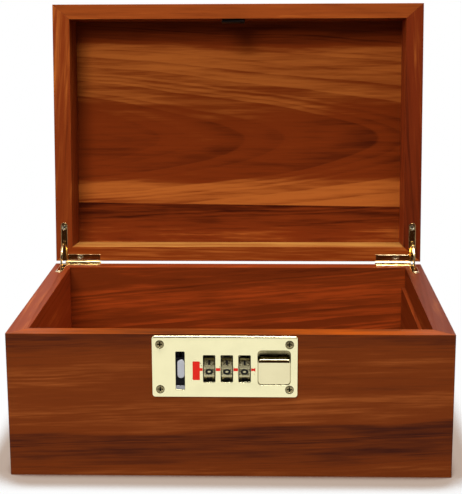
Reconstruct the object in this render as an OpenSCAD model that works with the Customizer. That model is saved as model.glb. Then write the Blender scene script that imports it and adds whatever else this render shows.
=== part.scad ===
// Wooden lock box for a liquor bottle, drawn with its lid standing open.
// X runs to the right, Y to the rear and Z up, in millimetres.
// The origin is the middle of the underside.

/* [Box] */
// Outside width, left to right
box_w = 330; // [270:1:420]
// Outside depth, front to rear
box_d = 230; // [180:1:300]
// Height of the base, from its underside to its rim
base_h = 110; // [90:1:150]
// Height of the lid, from its rim to its top
lid_h = 50; // [38:1:70]
// Thickness of the base walls and of the side rails of the lid
wall_t = 15; // [13:0.5:20]
// Thickness of the front and rear rails of the lid
lid_rail_t = 13; // [11:0.5:20]
// Thickness of the floor panel
floor_t = 8; // [5:0.5:12]
// Thickness of the two boards in the top of the lid
top_t = 8; // [5:0.5:12]
// How far the floor and the top boards reach into the rebates of the walls
panel_lap = 7; // [4:0.5:10]
// Width of the narrow rear board at its middle, inside the lid
rear_board_w = 35.2; // [20:0.1:60]
// How much wider the narrow board is at its left end than at its right
rear_board_taper = 4.2; // [0:0.2:8]
// Gap between the two rims when the lid is shut
rim_gap = 0.6; // [0.4:0.1:2]

/* [Side liner] */
// Thickness of the thin board that stands against the right wall
liner_t = 3; // [1.5:0.5:4]
// Distance from the rim down to the top of that board
liner_drop = 18; // [17:1:30]

/* [Hinges] */
// Angle at which the stop arms hold the open lid
open_angle = 96; // [88:1:105]
// Distance of the hinge pin behind the rear face
pin_out = 1.7; // [1.6:0.1:2.8]
// Outside radius of the hinge barrel
barrel_r = 2.1; // [1.9:0.1:2.4]
// Radius of the hinge pin
pin_r = 1; // [0.8:0.1:1.4]
// Distance from the end face of the box to the outer end of the barrel
barrel_inset = 9.5; // [9:0.5:14]
// Length of the barrel
barrel_len = 30.5; // [20:0.5:45]
// Gap between neighbouring knuckles of the barrel
knuckle_gap = 0.2; // [0.1:0.05:0.4]
// Clearance of a knuckle in the leaf of its partner
knuckle_fit = 0.3; // [0.2:0.05:0.4]
// Radial clearance of the turning knuckle on its pin
pin_fit = 0.05; // [0.03:0.01:0.1]
// Thickness of a hinge leaf
leaf_t = 2; // [1.5:0.1:2.5]
// How far a leaf stands above its rim
leaf_proud = 0.15; // [0.1:0.05:0.2]
// Width of the leaf leg that lies along the rear wall
rear_leg_w = 6; // [5:0.5:8]
// Width of the leaf leg that lies along the side wall
side_leg_w = 5.8; // [5:0.2:7]
// Length of the side leg, from the pin to its round tip
side_leg_len = 36.5; // [34:0.5:50]
// Distance from the end face of the box to the middle of the side leg
side_leg_inset = 7.6; // [7:0.1:9]
// Distance from the pin to the screw in the side leg
side_screw_off = 32.2; // [28:0.1:45]
// Distance from the outer end of the barrel to the screw in the rear leg
rear_screw_off = 12.5; // [8:0.5:25]

/* [Stop arms] */
// Radius of the curve of a stop arm, about the hinge pin
arm_r = 18; // [16:0.5:20]
// Width of a stop arm, across its curve
arm_w = 3; // [2:0.2:4]
// Thickness of a stop arm
arm_t = 1.4; // [1:0.1:2]
// Radius of the cross peg at each end of an arm
peg_r = 0.9; // [0.7:0.1:1.1]
// Length of a cross peg
peg_len = 3.6; // [3:0.1:4.4]
// Clearance of an arm in its slots and in the wood
arm_fit = 0.3; // [0.2:0.05:0.5]
// Gap left between a peg and its leaf when the lid stands open
peg_gap = 0.1; // [0.05:0.05:0.3]

/* [Lock plate] */
// Width of the lock plate
plate_w = 107.4; // [104:0.2:112]
// Height of the lock plate
plate_h = 47; // [46:0.5:50]
// Thickness of the lock plate, proud of the front wall
plate_t = 1.8; // [1.5:0.1:2.5]
// Corner radius of the lock plate
plate_corner_r = 2.4; // [1:0.2:4]
// Distance from the rim down to the top edge of the plate
plate_drop = 1; // [0.5:0.1:4]
// Offset of the middle of the plate from the middle of the box
plate_x = -3.5; // [-10:0.5:10]
// Distance of the plate screws from the ends of the plate
plate_screw_in = 6.1; // [5:0.1:6.4]
// Distance of the plate screws from the top and bottom edges of the plate
plate_screw_up = 6.3; // [5:0.1:6.4]
// Depth of the red index marks let into the plate
inlay_d = 0.3; // [0.2:0.1:0.5]
// Width of the red block of the index
index_block_w = 5.3; // [4:0.1:7]
// Height of the red block of the index
index_block_h = 14.3; // [10:0.1:18]
// Position of the red block, from the middle of the plate
index_block_x = -20.95; // [-21.5:0.05:-20.5]
// Height of the red index line
index_line_h = 2.2; // [1:0.1:3]
// Length of the index line beyond the last dial window
index_line_end = 3.7; // [1:0.1:4.5]
// Height of the index line above the dial axle
index_rise = 1.6; // [0:0.1:3]

/* [Lock case] */
// Wall of the pressed lock case
case_t = 0.8; // [0.6:0.1:1]
// Clearance of the case in the mortise of the front wall
case_fit = 0.2; // [0.1:0.05:0.4]
// Thickness of the back cover
cover_t = 1.2; // [0.8:0.1:2]
// Height of the main part of the case
case_h = 38; // [37:0.5:39]
// Distance from the left edge of the plate to the case
case_left_in = 10.7; // [10.4:0.1:11]
// Distance from the right edge of the plate to the main part of the case
case_right_in = 10.7; // [10.4:0.1:11]
// Distance from the right edge of the plate to the end of the case
case_end_in = 1.8; // [1.4:0.1:2.2]
// Radius of the posts that carry the back cover
post_r = 1.8; // [1.6:0.1:2]

/* [Dials] */
// Radius of a dial, over the corners of its ten faces
dial_r = 11.4; // [11:0.1:11.6]
// Width of a dial
dial_w = 8.2; // [7.6:0.1:8.5]
// Distance from dial to dial
dial_pitch = 13; // [12.8:0.1:13.4]
// Position of the middle dial, from the middle of the plate
dial_x = 1.6; // [1.2:0.1:1.8]
// Drop of the dial axle below the middle of the plate
axle_drop = 3.5; // [3:0.1:4]
// How far the corners of a dial stand out of the plate
dial_proud = 0.8; // [0.4:0.1:1.2]
// Width of a dial window
window_w = 9; // [8.6:0.1:9.4]
// Reach of a window below the dial axle
window_below = 8; // [7.9:0.1:8.6]
// Reach of a window above the dial axle
window_above = 12.5; // [11:0.1:13.5]
// Radius of the dial axle
axle_r = 1.5; // [1.2:0.1:1.8]
// Radial clearance of a dial sleeve on the axle
axle_fit = 0.05; // [0.03:0.01:0.1]
// Outside radius of a dial sleeve
sleeve_r = 4; // [3.4:0.1:4.4]
// Depth of the rim of a sleeve's gated flange inside the corners of the dial
flange_in = 3.4; // [3:0.1:4]
// Thickness of the gated flange
flange_t = 1.6; // [1.2:0.1:1.8]
// Thickness of the brackets that carry the axle
bracket_t = 1.5; // [1:0.1:1.6]
// Thickness of the click spring behind the dials
click_spring_t = 0.4; // [0.3:0.1:0.5]

/* [Thumb slide and bolt] */
// Width of the opening for the thumb slide
thumb_open_w = 24.3; // [23.6:0.1:24.8]
// Height of the opening for the thumb slide
thumb_open_h = 26.4; // [26:0.1:26.8]
// Corner radius of the thumb opening
thumb_corner_r = 3; // [1:0.2:5]
// Position of the thumb opening, from the middle of the plate
thumb_x = 36.3; // [36:0.1:36.5]
// Drop of the middle of the thumb opening below the middle of the plate
thumb_drop = 0.4; // [0:0.1:0.6]
// Clearance round the thumb slide
thumb_fit = 0.3; // [0.2:0.05:0.4]
// Height of the flat face of the thumb slide
thumb_face_h = 16.4; // [14:0.1:17]
// Radius of the roll along the top of the thumb slide
thumb_roll_r = 3.4; // [2:0.1:4]
// Depth of the thumb slide, front to back
thumb_slide_d = 5; // [4:0.1:5.4]
// How far the guide flanges reach behind the plate on each side
thumb_flange = 1; // [0.6:0.1:1.2]
// Travel of the thumb slide
thumb_travel = 6; // [4:0.5:6]
// Sheet thickness of the cup behind the thumb slide
cup_t = 0.6; // [0.4:0.1:0.7]
// Depth of the cup behind the plate
cup_d = 7.5; // [7:0.1:7.6]
// Radius of the drive pin on the thumb slide
drive_pin_r = 1.5; // [1.2:0.1:1.8]
// Clearance of pins in their slots
slot_fit = 0.1; // [0.05:0.01:0.2]
// Travel of the bolt
bolt_travel = 3.3; // [2.4:0.1:3.4]
// Thickness of the bolt
bolt_t = 2; // [1.5:0.1:2.5]
// Height of the arm of the bolt
bolt_arm_h = 4; // [3:0.1:4.4]
// Thickness of the fins on the fence bar
fin_t = 0.8; // [0.6:0.1:0.8]
// Height and depth of the fence bar
fence_bar_w = 2.1; // [1.6:0.1:2.1]

/* [Code change slide] */
// Width of the slot for the code change slide
code_slot_w = 6.8; // [6:0.1:8]
// Height of the slot for the code change slide
code_slot_h = 29.1; // [26:0.1:30]
// Position of the slot, from the middle of the plate
code_slot_x = -32.75; // [-33:0.05:-32.5]
// Drop of the middle of the slot below the middle of the plate
code_slot_drop = 2.85; // [2:0.05:3.5]
// Width of the knob
code_knob_w = 5.4; // [4.5:0.1:5.6]
// Height of the knob
code_knob_h = 14; // [10:0.1:15]
// Height of the middle of the knob above the middle of the slot
code_knob_rise = 1.15; // [0.5:0.05:1.5]
// Travel of the code change slide
code_travel = 6; // [4:0.5:6]
// Height of the small clip in the bottom of the slot
code_clip_h = 2.9; // [2:0.1:4]

/* [Hasp] */
// Width of the hasp that hangs from the lid
hasp_w = 20; // [16:0.5:24]
// Thickness of the hasp
hasp_t = 1.5; // [1:0.1:2]
// Length of the hasp above the lid rim, along the lid rail
hasp_up = 22; // [18:0.5:30]
// Reach of the hasp below the base rim when the lid is shut
hasp_down = 14.5; // [13.5:0.1:14.8]
// Least sideways step of the hasp away from the front wall
hasp_step = 0.8; // [0.6:0.1:2]

/* [Screws] */
// Head radius of the screws in the lock plate
plate_screw_head_r = 3.1; // [2.6:0.1:3.3]
// Shank radius of the screws in the lock plate
plate_screw_r = 1.4; // [1:0.1:1.4]
// Length of the screws in the lock plate
plate_screw_len = 13.5; // [8:0.5:14]
// Head radius of the hinge screws
hinge_screw_head_r = 2.3; // [1.8:0.1:2.4]
// Shank radius of the hinge screws
hinge_screw_r = 1.1; // [0.8:0.1:1.3]
// Length of the hinge screws
hinge_screw_len = 13; // [8:0.5:16]
// Head radius of the cover and hasp screws
small_screw_head_r = 2; // [1.6:0.1:2.2]
// Shank radius of the cover and hasp screws
small_screw_r = 1; // [0.8:0.1:1.1]
// Length of the cover and hasp screws
small_screw_len = 8; // [5:0.5:10]
// Head height of the cover and hasp screws
small_screw_head_h = 1.2; // [0.8:0.1:1.5]
// Clearance of a screw in sheet metal
screw_fit = 0.05; // [0.02:0.01:0.1]

/* [Hidden] */

$fn = 64;
cut = 1; // Overshoot of a cutting shape past a face
dial_faces = 10;
screw_point_h = 3;
opening_corner_r = 0.7; // Corners of the dial windows and of the code slot

// Colours
wood = [0.50, 0.22, 0.10];
inner_wood = [0.38, 0.14, 0.06];
brass = [0.85, 0.68, 0.30];
pale_brass = [0.90, 0.86, 0.68];
aged_brass = [0.48, 0.42, 0.28];
steel = [0.66, 0.66, 0.68];
red_enamel = [0.85, 0.12, 0.08];
black_plastic = [0.06, 0.06, 0.07];
grey_plastic = [0.74, 0.75, 0.78];

// Box
front_y = -box_d / 2;
rear_y = box_d / 2;
end_x = box_w / 2;
inner_w = box_w - 2 * wall_t;
inner_d = box_d - 2 * wall_t;
lid_rim_z = base_h + rim_gap;
lid_top_z = lid_rim_z + lid_h;
panel_w = inner_w + 2 * panel_lap;
panel_d = inner_d + 2 * panel_lap;
lid_inner_d = box_d - 2 * lid_rail_t;
lid_panel_d = lid_inner_d + 2 * panel_lap;
board_joint_y = lid_inner_d / 2 - rear_board_w;
// Inner face of whichever of the front wall and the front rail is thicker
inner_front_y = -min(inner_d, lid_inner_d) / 2;
liner_h = base_h - liner_drop - floor_t;

// Hinges
pin_y = rear_y + pin_out;
pin_z = base_h + rim_gap / 2;
barrel_end_x = end_x - barrel_inset;
barrel_start_x = barrel_end_x - barrel_len;
knuckle_len = (barrel_len - 2 * knuckle_gap) / 3;
knuckle_clear_r = barrel_r + knuckle_fit;
leaf_z = base_h + leaf_proud - leaf_t;
leg_x = end_x - side_leg_inset;
leg_tip_y = pin_y - side_leg_len + side_leg_w / 2;
side_screw_y = pin_y - side_screw_off;
rear_screw_x = barrel_end_x - rear_screw_off;
// The rear screw stands midway between the knuckles and the front edge of its leg
rear_screw_y = (rear_y - rear_leg_w + pin_y - knuckle_clear_r) / 2;
pin_head_r = pin_r + 0.6;
pin_head_h = 0.8;
barrel_end_room = pin_head_h + 0.4;
hinge_head_h = 1.3;
function knuckle_x(k) = barrel_start_x + k * (knuckle_len + knuckle_gap);

// Stop arms: angles are measured about the pin, from the base rim towards the lid
arm_in_r = arm_r - arm_w / 2;
arm_out_r = arm_r + arm_w / 2;
peg_angle = asin((pin_z - leaf_z + peg_r + peg_gap) / arm_r);
arm_tail = asin(1.3 * peg_r / arm_r);
arm_start = -peg_angle - arm_tail;
arm_end = open_angle + peg_angle + arm_tail;
arm_steps = 4;
function arm_point(a, r) = [pin_y - r * cos(a), pin_z + r * sin(a)];
// When the lid is shut each arm lies half in the base and half in the lid
arm_half = (arm_end - arm_start) / 2;
pocket_w = peg_len + 2 * arm_fit;
pocket_spare = 1;
pocket_d = arm_out_r * sin(arm_half) + pocket_spare;
pocket_front_y = pin_y - arm_out_r - 2 * arm_fit;
pocket_rear_y = pin_y - arm_in_r * cos(arm_half) + peg_r + arm_fit;
arm_slot_front_y = pin_y - arm_out_r - arm_fit;
arm_slot_rear_y = pin_y - arm_in_r * cos(peg_angle) + arm_fit;

// Lock: positions on the front face are measured from the middle of the plate
lock_z = base_h - plate_drop - plate_h / 2;
thumb_z0 = lock_z - thumb_drop - thumb_open_h / 2;
plate_face_y = front_y - plate_t;
plate_screw_x = plate_w / 2 - plate_screw_in;
plate_screw_z = plate_h / 2 - plate_screw_up;
plate_screw_head_h = plate_t;
axle_y = plate_face_y - dial_proud + dial_r;
axle_z = lock_z - axle_drop;
dial_gap = dial_pitch - dial_w;
fin_play = (dial_gap - bolt_travel - fin_t) / 2;
click_gap = 0.3;
click_lift = 0.5;
click_spring_y = axle_y + dial_r + click_gap;
bolt_to_cover = 3.8;
// The cover clears the dials, and the hasp in front of it clears the front wall
cover_y = max(click_spring_y + click_spring_t + click_lift,
    inner_front_y + hasp_step + (hasp_t + bolt_t) / 2 + bolt_to_cover);
case_x0 = plate_x - plate_w / 2 + case_left_in;
case_x1 = plate_x + plate_w / 2 - case_right_in;
case_x2 = plate_x + plate_w / 2 - case_end_in;
case_end_h = 29.6;
post_side_gap = 0.8;
post_edge_gap = 0.2;
post_x0 = case_x0 + case_t + post_r + post_side_gap;
post_x1 = case_x1 - case_t - post_r - post_side_gap;
post_z = case_h / 2 - case_t - post_r - post_edge_gap;

function dial_mid(i) = plate_x + dial_x + (i - 1) * dial_pitch;
flange_r = dial_r - flange_in;
fin_x_off = -dial_w / 2 - fin_play - fin_t;
flange_x_off = -dial_w / 2 - dial_gap / 2 - flange_t / 2;
bracket_gap = 0.5;
bracket_right_x = dial_mid(2) + dial_w / 2 + bracket_gap;
bracket_left_x = dial_mid(0) - dial_w / 2 - dial_gap - bracket_gap - bracket_t;
fin_w = 2;
gate_fit = 0.3;
gate_w = fin_w + 2 * gate_fit;
gate_floor = 0.6;
gate_r = sleeve_r + gate_floor;
fence_gap = 0.5;
// The fence bar passes below the dials and below the cup
fence_top_z = min(axle_z - dial_r, thumb_z0 - cup_t) - fence_gap;
fence_z = fence_top_z - fence_bar_w;

// Thumb slide and bolt
thumb_mid_x = plate_x + thumb_x;
slide_w = thumb_open_w - 2 * thumb_fit;
slide_flange_w = slide_w + 2 * (thumb_flange + thumb_fit);
slide_z0 = thumb_z0 + thumb_fit;
slide_set_in = 0.2;
slide_y = plate_face_y + slide_set_in;
slide_back_y = slide_y + thumb_slide_d;
lip_z = slide_z0 + thumb_face_h + thumb_roll_r;
cup_in_w = slide_flange_w + 2 * thumb_fit;
cup_corner_r = 0.6;
pin_seat_d = 2;
drive_up = 8;
drive_z = slide_z0 + drive_up;
bolt_back_y = cover_y - bolt_to_cover;
bolt_y = bolt_back_y - bolt_t;
bolt_fit = 0.3;
hasp_y = bolt_y + (bolt_t - hasp_t) / 2;
hasp_right_x = plate_x + hasp_w / 2;
hasp_tip_z = base_h - hasp_down;
bolt_tip_gap = 0.5;
bolt_tip_x = hasp_right_x + bolt_tip_gap;
bolt_arm_drop = 13;
bolt_arm_z = base_h - bolt_arm_drop;
slot_rim = 2.4;
slot_out = drive_pin_r + slot_fit + slot_rim;
bolt_left_x = thumb_mid_x - slot_out;
bolt_leg_w = 4.4;
bolt_lap = 1;
stud_pin_r = 1.5;
stud_head_r = 2.4;
stud_head_t = 0.8;
stud_rim = 1.1;
stud_drop = 3.6;
stud_x = bolt_left_x + stud_pin_r + slot_fit + stud_rim;
stud_z = bolt_arm_z - stud_drop;
hasp_side_fit = 0.6;
hasp_swing_room = 1;
hasp_screw_up = hasp_up * 0.65;

// Code change slide
code_x = plate_x + code_slot_x;
code_mid_z = lock_z - code_slot_drop;
knob_z = code_mid_z + code_knob_rise;
code_fit = 0.3;
code_plate_t = 1.2;
code_plate_w = code_knob_w + 2.2;
code_plate_h = code_knob_h + 2.4;
code_web_t = 1.4;
code_web_h = code_knob_h - 2;
knob_set_in = 0.6;
fork_wall = 2.4;
axle_end_out = 1.5;
channel_wall = 0.7;
channel_d = 3.2;
code_floor_t = 1;
code_floor_y = front_y + channel_d;

// One of the four sides of a mitred frame: 0 front, 1 right, 2 rear, 3 left
module mitred_side(side, front_t) {
    outer = [[-end_x, front_y], [end_x, front_y], [end_x, rear_y], [-end_x, rear_y]];
    inner = [for (p = outer) [p[0] - sign(p[0]) * wall_t, p[1] - sign(p[1]) * front_t]];
    next = (side + 1) % 4;
    polygon([outer[side], outer[next], inner[next], inner[side]]);
}

// Extrudes an outline drawn in X and Z, from a front plane towards the rear
module slab_y(y0, depth) {
    translate([0, y0 + depth, 0]) rotate([90, 0, 0]) linear_extrude(depth) children();
}

// Extrudes an outline drawn in Y and Z, from a left plane towards the right
module slab_x(x0, width) {
    translate([x0, 0, 0]) rotate([90, 0, 90]) linear_extrude(width) children();
}

// Rectangle about a centre, with round corners
module round_rect(cx, cz, w, h, r) {
    translate([cx, cz]) {
        square([w - 2 * r, h], center = true);
        square([w, h - 2 * r], center = true);
        for (sx = [-1, 1], sz = [-1, 1])
            translate([sx * (w / 2 - r), sz * (h / 2 - r)]) circle(r);
    }
}

// Slot with round ends between two points, drawn flat
module round_slot(p, q, r) {
    along = atan2(q[1] - p[1], q[0] - p[0]);
    span = norm([q[0] - p[0], q[1] - p[1]]);
    translate(p) rotate(along) {
        translate([0, -r]) square([span, 2 * r]);
        for (x = [0, span]) translate([x, 0]) circle(r);
    }
}

// Plain rectangle between two corners
module block2(x0, x1, z0, z1) {
    translate([x0, z0]) square([x1 - x0, z1 - z0]);
}

// Right-hand hinge parts are drawn; the left-hand ones are their mirror image
module on_side(s) {
    if (s < 0) mirror([1, 0, 0]) children();
    else children();
}

// What is drawn for the base rim is mirrored to the rim of the shut lid
module at_lid_rim() {
    translate([0, 0, 2 * pin_z]) mirror([0, 0, 1]) children();
}

// Swings a part of the shut lid open about the hinge pins
module swung_open() {
    translate([0, pin_y, pin_z]) rotate([-open_angle, 0, 0]) translate([0, -pin_y, -pin_z]) children();
}

// Screw with a cross recess; its head faces up with the rim at z = 0
module countersunk_screw(head_r, head_h, shank_r, length) {
    recess_w = head_r * 0.28;
    recess_l = head_r * 1.25;
    difference() {
        rotate_extrude() polygon([[0, 0], [head_r, 0], [shank_r, -head_h],
            [shank_r, screw_point_h - length], [0, -length]]);
        translate([0, 0, -head_h * 0.3]) {
            cube([recess_l, recess_w, head_h], center = true);
            cube([recess_w, recess_l, head_h], center = true);
        }
    }
}

// Hole for that screw, running through sheet metal and into the wood
module screw_hole(head_r, head_h, shank_r, length, fit) {
    rotate_extrude() polygon([[0, cut], [head_r + fit, cut], [head_r + fit, 0], [shank_r + fit, -head_h],
        [shank_r + fit, screw_point_h - length], [0, -length - fit]]);
}

// Screw with a flat round head that stands on the surface at z = 0
module flat_head_screw(head_r, head_h, shank_r, length) {
    difference() {
        union() {
            cylinder(h = head_h, r = head_r);
            translate([0, 0, -length]) cylinder(h = length + head_h / 2, r = shank_r);
        }
        for (turn = [0, 90])
            rotate(turn) translate([0, 0, head_h]) cube([head_r * 1.2, head_r * 0.3, head_h], center = true);
    }
}

module at_hinge_screws() {
    for (p = [[rear_screw_x, rear_screw_y], [leg_x, side_screw_y]])
        translate([p[0], p[1], base_h + leaf_proud]) children();
}

module at_plate_screws() {
    for (sx = [-1, 1], sz = [-1, 1])
        translate([plate_x + sx * plate_screw_x, plate_face_y, lock_z + sz * plate_screw_z])
            rotate([90, 0, 0]) children();
}

module at_posts() {
    for (x = [post_x0, post_x1], sz = [-1, 1])
        translate([x, 0, lock_z + sz * post_z]) children();
}

// The outline of a hinge leaf on the rim, an L with a round tip
module leaf_outline() {
    translate([barrel_start_x, rear_y - rear_leg_w])
        square([leg_x + side_leg_w / 2 - barrel_start_x, rear_leg_w]);
    translate([leg_x - side_leg_w / 2, leg_tip_y]) square([side_leg_w, rear_y - leg_tip_y]);
    translate([leg_x, leg_tip_y]) circle(side_leg_w / 2);
}

// What a base wall loses to one hinge: leaf and barrel recesses, pocket for the arm, screw holes
module hinge_cut() {
    barrel_piece(barrel_start_x - barrel_end_room, barrel_len + 2 * barrel_end_room, knuckle_clear_r);
    translate([0, 0, leaf_z]) linear_extrude(leaf_t + cut) leaf_outline();
    translate([leg_x - pocket_w / 2, pocket_front_y, base_h - pocket_d])
        cube([pocket_w, pocket_rear_y - pocket_front_y, pocket_d + cut]);
    at_hinge_screws() screw_hole(hinge_screw_head_r, hinge_head_h, hinge_screw_r, hinge_screw_len, 0);
}

module base_frame_side(side) {
    difference() {
        linear_extrude(base_h) mitred_side(side, wall_t);
        translate([-panel_w / 2, -panel_d / 2, -cut]) cube([panel_w, panel_d, floor_t + cut]);
        for (s = [-1, 1]) on_side(s) hinge_cut();
        if (side == 0) {
            slab_y(front_y - cut, wall_t + 2 * cut) case_outline(case_fit);
            at_plate_screws() screw_hole(plate_screw_head_r, plate_screw_head_h, plate_screw_r,
                plate_screw_len, 0);
        }
    }
}

module lid_frame_side(side) {
    swung_open() difference() {
        translate([0, 0, lid_rim_z]) linear_extrude(lid_h) mitred_side(side, lid_rail_t);
        translate([-panel_w / 2, -lid_panel_d / 2, lid_top_z - top_t])
            cube([panel_w, lid_panel_d, top_t + cut]);
        at_lid_rim() for (s = [-1, 1]) on_side(s) hinge_cut();
        if (side == 0) at_hasp_screws() cylinder(h = small_screw_len, r = small_screw_r);
    }
}

module base_front_wall() { color(wood) base_frame_side(0); }
module base_right_wall() { color(wood) base_frame_side(1); }
module base_rear_wall() { color(wood) base_frame_side(2); }
module base_left_wall() { color(wood) base_frame_side(3); }
module lid_front_rail() { color(wood) lid_frame_side(0); }
module lid_right_rail() { color(wood) lid_frame_side(1); }
module lid_rear_rail() { color(wood) lid_frame_side(2); }
module lid_left_rail() { color(wood) lid_frame_side(3); }

// Floor panel, flush with the underside of the walls
module base_floor() {
    color(wood) translate([-panel_w / 2, -panel_d / 2, 0]) cube([panel_w, panel_d, floor_t]);
}

// The two boards of the lid top, edge to edge along a joint that slants a little
module lid_board(far_y) {
    swung_open() translate([0, 0, lid_top_z - top_t]) linear_extrude(top_t)
        polygon([[-panel_w / 2, far_y], [panel_w / 2, far_y],
            [panel_w / 2, board_joint_y + rear_board_taper / 2],
            [-panel_w / 2, board_joint_y - rear_board_taper / 2]]);
}
module lid_wide_board() { color(wood) lid_board(-lid_panel_d / 2); }
module lid_narrow_board() { color(wood) lid_board(lid_panel_d / 2); }

// Thin board standing on the floor against the right wall
module right_liner() {
    color(inner_wood) translate([inner_w / 2 - liner_t, -inner_d / 2, floor_t])
        cube([liner_t, inner_d, liner_h]);
}

// One hinge leaf for the base rim; own lists its knuckles and other those of its partner
module leaf(own, other) {
    difference() {
        union() {
            translate([0, 0, leaf_z]) linear_extrude(leaf_t) leaf_outline();
            for (k = own) {
                translate([knuckle_x(k), rear_y - rear_leg_w, leaf_z])
                    cube([knuckle_len, rear_leg_w + pin_out, leaf_t]);
                barrel_piece(knuckle_x(k), knuckle_len, barrel_r);
            }
        }
        for (k = other)
            barrel_piece(knuckle_x(k) - knuckle_gap, knuckle_len + 2 * knuckle_gap, knuckle_clear_r);
        barrel_piece(barrel_start_x - cut, barrel_len + 2 * cut, len(own) == 1 ? pin_r + pin_fit : pin_r);
        translate([leg_x - arm_t / 2 - arm_fit, arm_slot_front_y, leaf_z - cut])
            cube([arm_t + 2 * arm_fit, arm_slot_rear_y - arm_slot_front_y, leaf_t + 2 * cut]);
        at_hinge_screws() screw_hole(hinge_screw_head_r, hinge_head_h, hinge_screw_r, hinge_screw_len,
            screw_fit);
    }
}
module barrel_piece(x, length, r) {
    translate([x, pin_y, pin_z]) rotate([0, 90, 0]) cylinder(h = length, r = r);
}
module base_leaf(s) { color(brass) on_side(s) leaf([0, 2], [1]); }
module lid_leaf(s) { color(brass) swung_open() at_lid_rim() on_side(s) leaf([1], [0, 2]); }
module base_leaf_left() { base_leaf(-1); }
module base_leaf_right() { base_leaf(1); }
module lid_leaf_left() { lid_leaf(-1); }
module lid_leaf_right() { lid_leaf(1); }

// Hinge pin with a small head at each end of the barrel
module hinge_pin(s) {
    color(brass) on_side(s) {
        barrel_piece(barrel_start_x - pin_head_h, barrel_len + 2 * pin_head_h, pin_r);
        for (x = [barrel_start_x - pin_head_h, barrel_end_x]) barrel_piece(x, pin_head_h, pin_head_r);
    }
}
module hinge_pin_left() { hinge_pin(-1); }
module hinge_pin_right() { hinge_pin(1); }

// Curved stop arm: it slides through both leaves, and its cross pegs catch under them
module stop_arm(s) {
    fan = [for (i = [0:arm_steps]) arm_point(arm_start + (arm_end - arm_start) * i / arm_steps, 2 * arm_r)];
    color(brass) on_side(s) {
        slab_x(leg_x - arm_t / 2, arm_t) intersection() {
            translate([pin_y, pin_z]) difference() {
                circle(arm_out_r);
                circle(arm_in_r);
            }
            polygon(concat([[pin_y, pin_z]], fan));
        }
        for (a = [-peg_angle, open_angle + peg_angle])
            slab_x(leg_x - peg_len / 2, peg_len) translate(arm_point(a, arm_r)) circle(peg_r);
    }
}
module stop_arm_left() { stop_arm(-1); }
module stop_arm_right() { stop_arm(1); }

module hinge_screw() {
    countersunk_screw(hinge_screw_head_r, hinge_head_h, hinge_screw_r, hinge_screw_len);
}
module base_leaf_screws() {
    color(brass) for (s = [-1, 1]) on_side(s) at_hinge_screws() hinge_screw();
}
module lid_leaf_screws() {
    color(brass) swung_open() at_lid_rim() for (s = [-1, 1]) on_side(s) at_hinge_screws() hinge_screw();
}

// Outline of the lock case, grown by a clearance: a main part and a shallower end
module case_outline(grow) {
    block2(case_x0 - grow, case_x1 + grow, lock_z - case_h / 2 - grow, lock_z + case_h / 2 + grow);
    block2(case_x0 + cut, case_x2 + grow, lock_z - thumb_drop - case_end_h / 2 - grow,
        lock_z - thumb_drop + case_end_h / 2 + grow);
}

module window_outline(i) {
    round_rect(dial_mid(i), axle_z + (window_above - window_below) / 2, window_w,
        window_above + window_below, opening_corner_r);
}

module thumb_opening() {
    round_rect(thumb_mid_x, thumb_z0 + thumb_open_h / 2, thumb_open_w, thumb_open_h, thumb_corner_r);
}

// The red marks: a block, and a line that runs from it past the last window
module index_outline() {
    round_rect(plate_x + index_block_x, code_mid_z, index_block_w, index_block_h, opening_corner_r);
    difference() {
        block2(plate_x + index_block_x, dial_mid(2) + window_w / 2 + index_line_end,
            axle_z + index_rise - index_line_h / 2, axle_z + index_rise + index_line_h / 2);
        for (i = [0:2]) block2(dial_mid(i) - window_w / 2, dial_mid(i) + window_w / 2,
            axle_z - window_below, axle_z + window_above);
    }
}

// Cast plate on the front wall, with four posts at its back
module lock_plate() {
    color(pale_brass) difference() {
        union() {
            slab_y(plate_face_y, plate_t) round_rect(plate_x, lock_z, plate_w, plate_h, plate_corner_r);
            at_posts() slab_y(front_y - plate_t / 2, cover_y - front_y + plate_t / 2) circle(post_r);
        }
        slab_y(plate_face_y - cut, plate_t + 2 * cut) {
            for (i = [0:2]) window_outline(i);
            thumb_opening();
            round_rect(code_x, code_mid_z, code_slot_w, code_slot_h, opening_corner_r);
        }
        slab_y(plate_face_y - cut, inlay_d + cut) index_outline();
        at_plate_screws() screw_hole(plate_screw_head_r, plate_screw_head_h, plate_screw_r,
            plate_screw_len, screw_fit);
        at_posts() slab_y(cover_y - small_screw_len, small_screw_len + cut) circle(small_screw_r);
    }
}

module plate_screws() {
    color(aged_brass) at_plate_screws()
        countersunk_screw(plate_screw_head_r, plate_screw_head_h, plate_screw_r, plate_screw_len);
}

module index_inlay() {
    color(red_enamel) slab_y(plate_face_y, inlay_d) index_outline();
}

// Pressed steel case, open at the front, with a slot in its top for the hasp
module lock_case() {
    color(steel) difference() {
        slab_y(front_y, cover_y - front_y) case_outline(0);
        slab_y(front_y - cut, cover_y - front_y + 2 * cut) case_outline(-case_t);
        translate([plate_x - hasp_w / 2 - hasp_side_fit, hasp_y - hasp_swing_room, lock_z])
            cube([hasp_w + 2 * hasp_side_fit, hasp_swing_room + hasp_t + hasp_side_fit, case_h]);
    }
}

module back_cover() {
    color(steel) difference() {
        slab_y(cover_y, cover_t) case_outline(0);
        at_posts() slab_y(cover_y - cut, cover_t + 2 * cut) circle(small_screw_r + screw_fit);
    }
}

module cover_screws() {
    color(steel) at_posts() translate([0, cover_y + cover_t, 0]) rotate([-90, 0, 0])
        flat_head_screw(small_screw_head_r, small_screw_head_h, small_screw_r, small_screw_len);
}

// Round bar that the dials turn on
module dial_axle() {
    left_end = code_x - code_web_t / 2 - axle_end_out;
    color(steel) slab_x(left_end, bracket_right_x + bracket_t - left_end) translate([axle_y, axle_z])
        circle(axle_r);
}

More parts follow.
